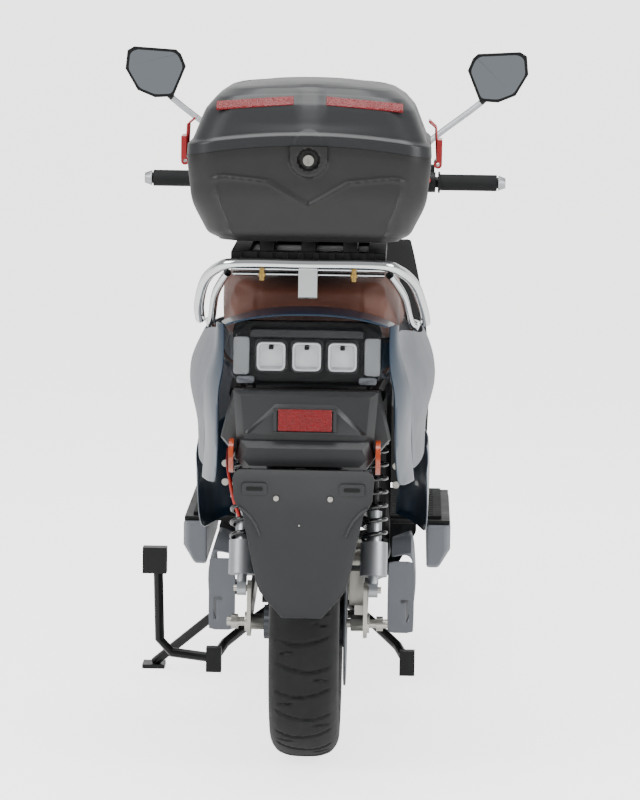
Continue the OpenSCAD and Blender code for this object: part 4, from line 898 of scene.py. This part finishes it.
def groove(x, run, half):
    """Depth of the tread grooves in mm at x across and run round the crown, 0 to 1 is a repeat."""
    depth = 0.0
    for start, lean in ((0.0, 1), (0.5, -1)):
        peak = 0.18 * half * lean
        climb = 0.17 * (1 - min(abs(x - peak) / (half + abs(peak)), 1.3) ** 1.5)
        gap = abs((run - start - climb + 0.5) % 1 - 0.5)
        side = ease((half * 0.93 - abs(x)) / 3)
        depth = max(depth, ease((0.036 - gap) / 0.018) * side)
        hook = abs((run - start - 0.27 - 0.09 * abs(x) / half + 0.5) % 1 - 0.5)
        reach = ease((x * lean - half * 0.35) / 3) * ease((half * 0.86 - x * lean) / 3)
        depth = max(depth, ease((0.026 - hook) / 0.014) * reach)
    return 3.2 * depth


def tyre(name, radius, width, axle_y, axle_z, body, node, steps=504):
    """A hollow carcass of this outer radius and width with its tread cut in."""
    wall = radius - RIM_R
    half = [(0.36 * width, RIM_R + 0.5), (0.42 * width, RIM_R + 12), (0.5 * width, RIM_R + wall * 0.45),
            (0.485 * width, RIM_R + wall * 0.68), (0.40 * width, radius - 11),
            (0.29 * width, radius - 4), (0.17 * width, radius - 0.8), (0.0, radius)]
    side = [(p.x, p.y) for p in smooth_line([(x, r, 0) for x, r in half], 4)]
    liner = [(-0.36 * width + 7, RIM_R + 0.5), (-0.42 * width + 8, RIM_R + 15), (0.0, radius - 14),
             (0.42 * width - 8, RIM_R + 15), (0.36 * width - 7, RIM_R + 0.5)]
    loop = side + [(-x, r) for x, r in reversed(side[:-1])] + liner
    repeats = round(math.tau * radius / 100)
    bm = bmesh.new()
    rings = []
    for k in range(steps):
        a = math.tau * k / steps
        ring = []
        for i, (x, r) in enumerate(loop):
            if i < len(loop) - len(liner) and r > radius - 14:
                r -= groove(x, (k / steps * repeats) % 1, 0.42 * width)
            ring.append(bm.verts.new(at(x, axle_y - r * math.sin(a), axle_z + r * math.cos(a))))
        rings.append(ring)
    for k in range(steps):
        low, high = rings[k], rings[(k + 1) % steps]
        for i in range(len(loop)):
            j = (i + 1) % len(loop)
            bm.faces.new((low[i], low[j], high[j], high[i]))
    bmesh.ops.recalc_face_normals(bm, faces=bm.faces)
    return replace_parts(piece(name, bm, tyre_rubber, body, 40.0), node)


tyre("rear_tyre_carcass", REAR_R, REAR_WIDTH, 0, REAR_R, "rear_wheel", "rear_tyre")
tyre("front_tyre_carcass", FRONT_R, FRONT_WIDTH, WHEELBASE, FRONT_R, "front_wheel", "front_tyre", 420)

# %% [markdown]
# ## Upholstery
# Each cushion starts a little smaller than its place. It is remeshed finely, held along its base
# and its seams, and blown up as a cloth by a light pressure, so the leather swells between the
# seams. No point may move more than 9 mm.

# %% Cushions for the rider and the passenger
def cushion(node, body, seams, base_z, shrink=3.0):
    """Blows up a cushion. seams are (axis, place in mm): lines held while the leather swells."""
    bm = cad_copy(node)
    bmesh.ops.recalc_face_normals(bm, faces=bm.faces)
    shape = piece(node + "_leather", bm, leather, body, 60.0)
    remesh = shape.modifiers.new("even_skin", "REMESH")
    remesh.mode, remesh.voxel_size = "VOXEL", 6 * MM
    smooth = shape.modifiers.new("soft_edges", "SMOOTH")
    smooth.factor, smooth.iterations = 0.5, 10
    depsgraph = bpy.context.evaluated_depsgraph_get()
    skin = bpy.data.meshes.new_from_object(shape.evaluated_get(depsgraph))
    shape.modifiers.clear()
    for vert in skin.vertices:
        vert.co -= vert.normal * shrink * MM
    shape.data = skin
    start = [v.co.copy() for v in skin.vertices]
    held = shape.vertex_groups.new(name="seams")
    for vert in skin.vertices:
        x, y, z = vert.co.x / MM, vert.co.y / MM + REAR_AXLE, vert.co.z / MM
        near = min([abs({"x": abs(x), "y": y, "z": z}[axis] - place) for axis, place in seams])
        if z < base_z or near < 3.2:
            held.add([vert.index], 1.0, "REPLACE")
            if z > base_z:
                start[vert.index] = vert.co - vert.normal * 1.5 * MM
                vert.co = start[vert.index]
    cloth = shape.modifiers.new("swelling_leather", "CLOTH")
    cloth.settings.use_pressure = True
    cloth.settings.uniform_pressure_force = 4.0
    cloth.settings.effector_weights.gravity = 0.0
    cloth.settings.vertex_group_mass = "seams"
    cloth.settings.quality = 5
    cloth.point_cache.frame_start, cloth.point_cache.frame_end = 1, 20
    for frame in range(1, 21):
        bpy.context.scene.frame_set(frame)
    depsgraph = bpy.context.evaluated_depsgraph_get()
    swollen = bpy.data.meshes.new_from_object(shape.evaluated_get(depsgraph))
    shape.modifiers.clear()
    shape.data = swollen
    for vert, place in zip(swollen.vertices, start):
        move = vert.co - place
        if move.length > 9 * MM:
            vert.co = place + move.normalized() * 9 * MM
    bpy.context.scene.frame_set(1)
    shape.vertex_groups.clear()
    shape.data.shade_smooth()
    if not shape.data.materials:
        shape.data.materials.append(leather)
    soft = shape.modifiers.new("smooth_form", "SUBSURF")
    soft.levels = soft.render_levels = 1
    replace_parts(shape, node)
    print(node, len(shape.data.vertices), "points, simulated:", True)


cushion("seat_cushion", "seat", [("x", 96), ("y", 330), ("y", 470)], 740)
cushion("pillion_pad", "chassis", [("x", 88), ("y", 40)], 760)
done |= {"front_tyre", "rear_tyre", "seat_cushion", "pillion_pad", "case_shell", "case_lid",
         "lid_reflectors", "grab_rail", "shock_springs", "tail_light_reflectors",
         "plate_bracket"}
print("not dressed yet:", sorted(set(nodes) - done))

# %% [markdown]
# ## Studio
# A pale floor that curves up behind, three large soft lights and a bright surround. The floor
# glows more to the camera than to the scooter, so it looks pale without washing the scooter out.

# %% Floor and lights
def studio_floor(half=9.0, bend=1.5):
    """A pale sweep: a flat floor with a curved rise far in front of the scooter."""
    bm = bmesh.new()
    steps = 12
    line = [(-half * 1.6, 0.0)] + [
        (half + bend * math.sin(a), bend - bend * math.cos(a))
        for a in (math.radians(90 * i / steps) for i in range(steps + 1))] + [(half + bend, half)]
    rows = [[bm.verts.new((x, y, z)) for y, z in line] for x in (-half * 1.4, half * 1.4)]
    for i in range(len(line) - 1):
        bm.faces.new((rows[0][i], rows[1][i], rows[1][i + 1], rows[0][i + 1]))
    mesh = bpy.data.meshes.new("studio_floor")
    bm.to_mesh(mesh)
    bm.free()
    mesh.shade_smooth()
    paint = finish("painted_studio_floor", "#f6f6f5", 0.0, 0.7, Emission_Color=linear("#f6f6f5"))
    seen = add(paint.node_tree, "ShaderNodeLightPath")
    glow = add(paint.node_tree, "ShaderNodeMapRange", {"Value": seen.outputs["Is Camera Ray"]},
               {"To Min": 0.55, "To Max": 2.4})
    paint.node_tree.links.new(glow.outputs["Result"],
                              paint.node_tree.nodes["Principled BSDF"].inputs["Emission Strength"])
    mesh.materials.append(paint)
    obj = bpy.data.objects.new("studio_floor", mesh)
    bpy.context.scene.collection.objects.link(obj)
    return obj


def softbox(name, place, target, size, power):
    """A large square light aimed at a point."""
    lamp = bpy.data.lights.new(name, "AREA")
    lamp.shape, lamp.size, lamp.energy = "SQUARE", size, power
    obj = bpy.data.objects.new(name, lamp)
    obj.location = place
    obj.rotation_euler = (Vector(target) - Vector(place)).to_track_quat("-Z", "Y").to_euler()
    bpy.context.scene.collection.objects.link(obj)
    return obj


studio_floor()
rear = cad_box[0].y
softbox("key_left", (-3.6, rear - 2.6, 3.4), (0, rear, 0.8), 2.6, 190)
softbox("fill_right", (3.8, rear - 2.2, 2.6), (0, rear, 0.7), 2.4, 150)
softbox("top", (0, rear + 0.6, 4.2), (0, rear + 0.5, 0.5), 3.0, 150)
world = bpy.data.worlds.new("studio_surround")
bpy.context.scene.world = world
world.use_nodes = True
world.node_tree.nodes["Background"].inputs["Color"].default_value = linear("#f2f3f4")
world.node_tree.nodes["Background"].inputs["Strength"].default_value = 0.5
print("lights:", len(bpy.data.lights))

# %% [markdown]
# The camera stands behind the scooter, a little to its right and above it. A long lens keeps the
# perspective flat.

# %% Camera
CAMERA = (0.1703, -6.8190, 1.4951)
PITCH, YAW, ROLL = 7.895, 1.411, 0.815
LENS = 161.2
cam_data = bpy.data.cameras.new("camera")
cam_data.lens = LENS
cam_data.clip_start, cam_data.clip_end = 0.5, 60
cam = bpy.data.objects.new("camera", cam_data)
turn = (Matrix.Rotation(math.radians(YAW), 4, "Z") @ Matrix.Rotation(math.radians(90 - PITCH), 4, "X")
        @ Matrix.Rotation(math.radians(ROLL), 4, "Z"))
cam.matrix_world = Matrix.Translation(CAMERA) @ turn
bpy.context.scene.collection.objects.link(cam)
bpy.context.scene.camera = cam
print("lens:", LENS, "mm")

# %% [markdown]
# ## Update
# The view layer is brought up to date, so that every finished piece stands in its place.

# %% Bring the scene up to date
bpy.context.view_layer.update()
